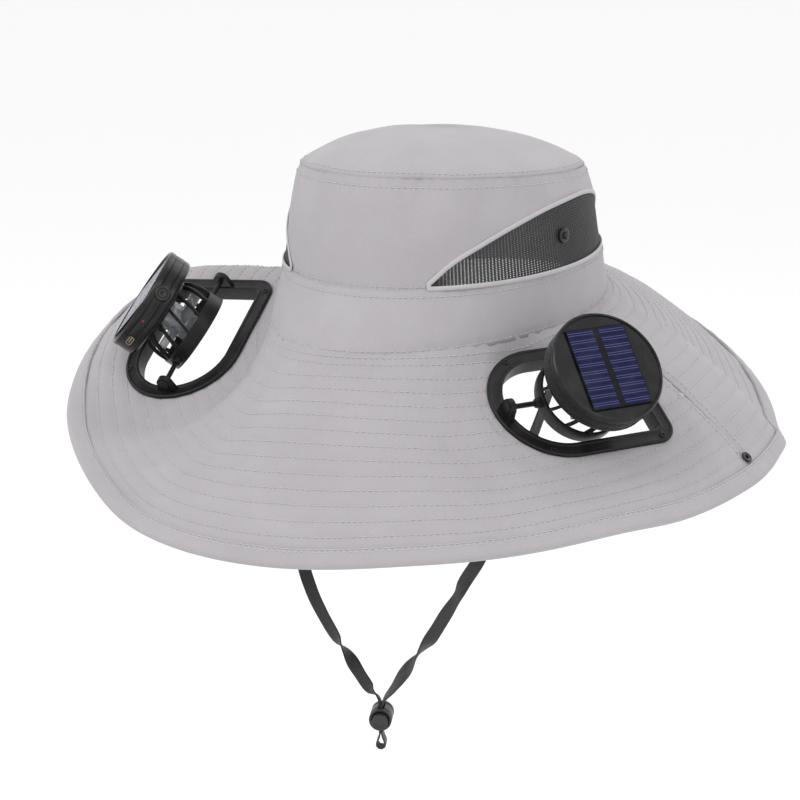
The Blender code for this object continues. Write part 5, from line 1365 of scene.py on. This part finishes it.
def build_cage(side_name):
    half = BAND_HEIGHT / 2.0
    inner = BAND_RADIUS - BAND_WALL
    band = ((inner, -half), (BAND_RADIUS, -half), (BAND_RADIUS, half), (inner, half))
    parts = [(ring_lathe_mesh("band", band, 96, FINE_ROUND), STILL)]
    parts += [(rib_mesh(2.0 * math.pi * (rib + 0.5) / RIB_COUNT), STILL) for rib in range(RIB_COUNT)]
    plate = [(0.0, AXLE_BOTTOM), (AXLE_RADIUS, AXLE_BOTTOM), (AXLE_RADIUS, PLATE_BOTTOM),
             (PLATE_RADIUS, PLATE_BOTTOM), (PLATE_RADIUS, PLATE_TOP), (0.0, PLATE_TOP)]
    parts.append((lathe_mesh("plate", plate, 72), STILL))
    reach = FLANGE_LENGTH / 2.0 - FLANGE_RIM + EAR_INSET + EAR_THICKNESS - 0.4 * MM
    start = inner + 0.4 * MM
    pin = lathe_mesh("pin", [(0.0, start), (PIN_RADIUS, start), (PIN_RADIUS, reach), (0.0, reach)], 32)
    collar = lathe_mesh("pin_collar", [(0.0, inner + MM), (3.0 * MM, inner + MM), (2.4 * MM, inner + 4.5 * MM),
                                       (0.0, inner + 4.5 * MM)], 32)
    for turn in (0.0, math.pi):
        out = Matrix.Rotation(turn, 4, "Z") @ Matrix.Rotation(math.pi / 2.0, 4, "Y")
        parts += [(pin, out), (collar, out)]
    add_piece(merge_meshes("cage_frame_" + side_name, parts), frame_plastic, "fan_" + side_name, "black_plastic",
              "cage_" + side_name, placed=FAN_PLACES[side_name], sharp=40.0)


# The rotors: a clear moulded hub with five twisted blades on the cage's axle, seen between the ribs.
ROTOR_HUB_RADIUS = 8.0 * MM
ROTOR_RADIUS = 19.4 * MM
ROTOR_BOTTOM = 0.6 * MM
ROTOR_TOP = 18.2 * MM
BLADE_COUNT = 5
BLADE_THICKNESS = 1.0 * MM
BLADE_STATIONS = 10
BLADE_CAMBER = 0.9 * MM
clear_plastic = moulded_material("clear_plastic", (0.42, 0.44, 0.46), 0.1, 900.0, 0.00001, Transmission_Weight=0.55,
                                 IOR=1.45)


def blade_mesh(angle):
    """One blade, wider and flatter towards its end, with a thin curved section."""
    shares = np.linspace(0.0, 1.0, BLADE_STATIONS)
    start = ROTOR_HUB_RADIUS - MM
    radius = start + (ROTOR_RADIUS - start) * shares
    chord = (ROTOR_TOP - ROTOR_BOTTOM) * (0.40 + 0.12 * shares)
    pitch = np.radians(46.0 - 12.0 * shares)
    radial, side = directions_at(angle + 0.35 * shares)
    along = side * np.cos(pitch)[:, None] + UP * np.sin(pitch)[:, None]
    thick = side * -np.sin(pitch)[:, None] + UP * np.cos(pitch)[:, None]
    middle = radial * radius[:, None] + UP * (ROTOR_TOP + ROTOR_BOTTOM) / 2.0
    angles = full_turn(20)
    reach = along[:, None] * (np.cos(angles)[None, :, None] * chord[:, None, None] / 2.0)
    depth = thick[:, None] * (np.sin(angles)[None, :, None] * BLADE_THICKNESS / 2.0)
    camber = thick[:, None] * (BLADE_CAMBER * (1.0 - np.cos(angles) ** 2)[None, :, None])
    return face_outwards(grid_mesh("blade", middle[:, None] + reach + depth + camber, True, False, True))


def build_rotor(side_name):
    bore = AXLE_RADIUS + PIECE_GAP
    bore_end = AXLE_BOTTOM - MM
    hub = [(0.0, ROTOR_BOTTOM), (ROTOR_HUB_RADIUS * 0.8, ROTOR_BOTTOM), (ROTOR_HUB_RADIUS, ROTOR_BOTTOM + 1.5 * MM),
           (ROTOR_HUB_RADIUS, ROTOR_TOP), (bore, ROTOR_TOP), (bore, bore_end), (0.0, bore_end)]
    parts = [(lathe_mesh("hub", hub, 48), STILL)]
    parts += [(blade_mesh(2.0 * math.pi * blade / BLADE_COUNT), STILL) for blade in range(BLADE_COUNT)]
    add_piece(merge_meshes("rotor_blades_" + side_name, parts), clear_plastic, "blades_" + side_name,
              "clear_plastic", "rotor_" + side_name, placed=FAN_PLACES[side_name], sharp=50.0)


# The solar cases: round glossy black cases that hold each fan's battery and motor. A raised rim stands round
# a sunken glossy face, and the side wall is stepped by two fine lines. A button, a charging socket and a
# tiny red lamp are let into the side.
PUCK_RADIUS = 30.25 * MM
PUCK_THICKNESS = 13.5 * MM
PUCK_BOTTOM = PLATE_TOP + PIECE_GAP
PUCK_TOP = PUCK_BOTTOM + PUCK_THICKNESS
PUCK_MIDDLE = (PUCK_BOTTOM + PUCK_TOP) / 2.0
PUCK_RIM = 1.6 * MM
PUCK_RECESS = 1.3 * MM
PUCK_STEPS = 128
PUCK_LINES = (PUCK_BOTTOM + 4.2 * MM, PUCK_BOTTOM + 9.3 * MM)
BUTTON_ANGLE = 68.0
BUTTON_RADIUS = 4.3 * MM
BUTTON_PROUD = 0.9 * MM
BUTTON_DEPTH = 2.4 * MM
BUTTON_TRAVEL = 0.7 * MM
USB_WIDTH = 8.4 * MM
USB_HEIGHT = 3.2 * MM
USB_DEPTH = 3.6 * MM
USB_WALL = 0.5 * MM
USB_TONGUE = (2.9 * MM, 0.35 * MM)
LAMP_ANGLE = 32.0
LAMP_PROFILE = ((0.0, -0.4 * MM), (0.65 * MM, -0.4 * MM), (0.65 * MM, 0.05 * MM), (0.35 * MM, 0.25 * MM),
                (0.0, 0.3 * MM))
case_plastic = moulded_material("case_plastic", (0.007, 0.007, 0.008), 0.2, 1500.0, 0.00001, Specular_IOR_Level=0.3)
button_plastic = moulded_material("button_plastic", (0.012, 0.012, 0.013), 0.3, Specular_IOR_Level=0.4)
socket_metal = moulded_material("socket_metal", (0.62, 0.56, 0.42), 0.28, 800.0, 0.00001, Metallic=1.0)
lamp_red = moulded_material("lamp_red", (0.32, 0.01, 0.012), 0.25, 900.0, 0.00001)


def side_place(side_name, angle):
    """A place on the case's side wall, z straight out."""
    turn = Matrix.Rotation(math.radians(angle), 4, "Z")
    out = Matrix.Translation((PUCK_RADIUS, 0.0, PUCK_MIDDLE)) @ Matrix.Rotation(math.pi / 2.0, 4, "Y")
    return FAN_PLACES[side_name] @ turn @ out


def build_case(side_name):
    placed = FAN_PLACES[side_name]
    profile = [(0.0, PUCK_BOTTOM), (PUCK_RADIUS - 1.2 * MM, PUCK_BOTTOM),
               (PUCK_RADIUS - 0.3 * MM, PUCK_BOTTOM + 1.2 * MM)]
    for at in PUCK_LINES:
        profile += [(PUCK_RADIUS - 0.15 * MM, at), (PUCK_RADIUS - 0.5 * MM, at + 0.1 * MM),
                    (PUCK_RADIUS - 0.5 * MM, at + 0.45 * MM), (PUCK_RADIUS - 0.05 * MM, at + 0.55 * MM)]
    face = PUCK_TOP - PUCK_RECESS
    profile += [(PUCK_RADIUS, PUCK_TOP - 0.9 * MM), (PUCK_RADIUS - 0.8 * MM, PUCK_TOP),
                (PUCK_RADIUS - PUCK_RIM, PUCK_TOP - 0.1 * MM), (PUCK_RADIUS - PUCK_RIM - 0.3 * MM, face), (0.0, face)]
    name = "solar_case_" + side_name
    case = place_object(name, lathe_mesh(name, profile, PUCK_STEPS, 0.2 * MM), case_plastic, placed)
    floor_depth = -BUTTON_DEPTH - BUTTON_TRAVEL - 2.0 * PIECE_GAP
    hole = BUTTON_RADIUS + PIECE_GAP
    well = lathe_mesh("well", [(0.0, floor_depth), (hole, floor_depth), (hole, CUT_REACH), (0.0, CUT_REACH)], 48, 0.0)
    combine(case, well, side_place(side_name, BUTTON_ANGLE), "DIFFERENCE")
    half = (USB_WIDTH / 2.0 + PIECE_GAP, USB_HEIGHT / 2.0 + PIECE_GAP)
    slot = block_mesh("slot", (PUCK_RADIUS - USB_DEPTH - PIECE_GAP, -half[0], PUCK_MIDDLE - half[1]),
                      (PUCK_RADIUS + CUT_REACH, half[0], PUCK_MIDDLE + half[1]))
    combine(case, slot, placed, "DIFFERENCE")
    crisp(case, 32.0)
    finish_piece(case, "fan_" + side_name, "black_plastic", "puck_" + side_name)


def build_socket(side_name):
    near = math.sqrt(PUCK_RADIUS ** 2 - (USB_WIDTH / 2.0) ** 2)
    far = PUCK_RADIUS - USB_DEPTH
    loops = []
    for depth, wall in ((near, 0.0), (far, 0.0), (far, USB_WALL), (near, USB_WALL)):
        half = (USB_WIDTH / 2.0 - wall, USB_HEIGHT / 2.0 - wall)
        round_end = half[1] * 0.85
        loop = []
        for turn in full_turn(32):
            y = math.copysign(half[0] - round_end, math.cos(turn)) + round_end * math.cos(turn)
            z = math.copysign(half[1] - round_end, math.sin(turn)) + round_end * math.sin(turn)
            loop.append((depth, y, PUCK_MIDDLE + z))
        loops.append(loop)
    shell = face_outwards(grid_mesh("shell", np.array(loops), True, True))
    tongue = block_mesh("tongue", (far, -USB_TONGUE[0], PUCK_MIDDLE - USB_TONGUE[1]),
                        (near - 0.7 * MM, USB_TONGUE[0], PUCK_MIDDLE + USB_TONGUE[1]))
    add_piece(merge_meshes("charge_socket_" + side_name, ((shell, STILL), (tongue, STILL))), socket_metal,
              "fan_" + side_name, "socket_metal", "usb_socket_" + side_name, placed=FAN_PLACES[side_name], sharp=30.0)


def build_button(side_name):
    proud = BUTTON_PROUD
    profile = [(0.0, -BUTTON_DEPTH), (BUTTON_RADIUS, -BUTTON_DEPTH), (BUTTON_RADIUS, proud * 0.5),
               (BUTTON_RADIUS * 0.88, proud), (BUTTON_RADIUS * 0.74, proud), (BUTTON_RADIUS * 0.68, proud * 0.55),
               (BUTTON_RADIUS * 0.6, proud * 0.55), (BUTTON_RADIUS * 0.54, proud),
               (BUTTON_RADIUS * 0.34, proud * 0.9), (BUTTON_RADIUS * 0.16, proud * 0.3), (0.0, proud * 0.2)]
    add_piece(lathe_mesh("push_button_" + side_name, profile, 48, 0.15 * MM), button_plastic,
              "button_" + side_name, "black_plastic", "power_button_" + side_name,
              placed=side_place(side_name, BUTTON_ANGLE), sharp=40.0)


def build_lamp(side_name):
    placed = side_place(side_name, LAMP_ANGLE) @ Matrix.Translation((-0.5 * MM, 0.0, -0.1 * MM))
    add_piece(lathe_mesh("charge_lamp_" + side_name, LAMP_PROFILE, 24, 0.15 * MM), lamp_red, "fan_" + side_name,
              "black_plastic", placed=placed)


# The solar panels: two columns of ten dark blue cells under clear resin on a black board. Each cell is crossed
# by a pair of thin silver lines, and a plain black strip runs down between the columns.
PANEL_LENGTH = 44.0 * MM
PANEL_WIDTH = 34.0 * MM
PANEL_THICKNESS = 0.8 * MM
CELL_ROWS = 10
PANEL_MARGIN = 0.5 * MM
PANEL_STRIP = 3.6 * MM
CELL_GAP = 0.3 * MM
CELL_LIFT = 0.03 * MM
LINE_WIDTH = 0.28 * MM
LINE_SHARES = (0.36, 0.64)
board_black = moulded_material("board_black", (0.004, 0.004, 0.006), 0.08, 700.0, 0.000005, Specular_IOR_Level=0.16)
cell_blue = moulded_material("cell_blue", (0.006, 0.007, 0.045), 0.1, 600.0, 0.000005, Specular_IOR_Level=0.16)
line_silver = moulded_material("line_silver", (0.075, 0.085, 0.21), 0.3, 600.0, 0.000005, Specular_IOR_Level=0.2)


def slab(low, high):
    return block_mesh("slab", low, high), STILL


def build_panel(side_name):
    base = PUCK_TOP - PUCK_RECESS + PIECE_GAP
    top = base + PANEL_THICKNESS
    half_width, half_length = PANEL_WIDTH / 2.0, PANEL_LENGTH / 2.0
    board = [slab((-half_width, -half_length, base), (half_width, half_length, top - CELL_LIFT))]
    cells = []
    lines = []
    pitch = (PANEL_LENGTH - 2.0 * PANEL_MARGIN) / CELL_ROWS
    for side in (-1.0, 1.0):
        near, far = side * PANEL_STRIP / 2.0, side * (half_width - PANEL_MARGIN)
        low_x, high_x = min(near, far), max(near, far)
        for row in range(CELL_ROWS):
            low_y = -half_length + PANEL_MARGIN + row * pitch
            cells.append(slab((low_x, low_y + CELL_GAP / 2.0, base),
                              (high_x, low_y + pitch - CELL_GAP / 2.0, top - CELL_LIFT / 2.0)))
            for share in LINE_SHARES:
                at = low_y + pitch * share
                lines.append(slab((low_x, at - LINE_WIDTH / 2.0, base), (high_x, at + LINE_WIDTH / 2.0, top)))
    mesh = merge_meshes("cell_board_" + side_name, board + cells + lines)
    counts = (len(board) * 6, len(cells) * 6, len(lines) * 6)
    mesh.polygons.foreach_set("material_index", np.repeat([0, 1, 2], counts).astype(np.int32))
    add_piece(mesh, (board_black, cell_blue, line_silver), "fan_" + side_name, "solar_cells",
              "solar_panel_" + side_name, placed=FAN_PLACES[side_name])


for side_name in FAN_SEATS:
    build_flange(side_name)
    build_cage(side_name)
    build_rotor(side_name)
    build_case(side_name)
    build_socket(side_name)
    build_button(side_name)
    build_lamp(side_name)
    build_panel(side_name)
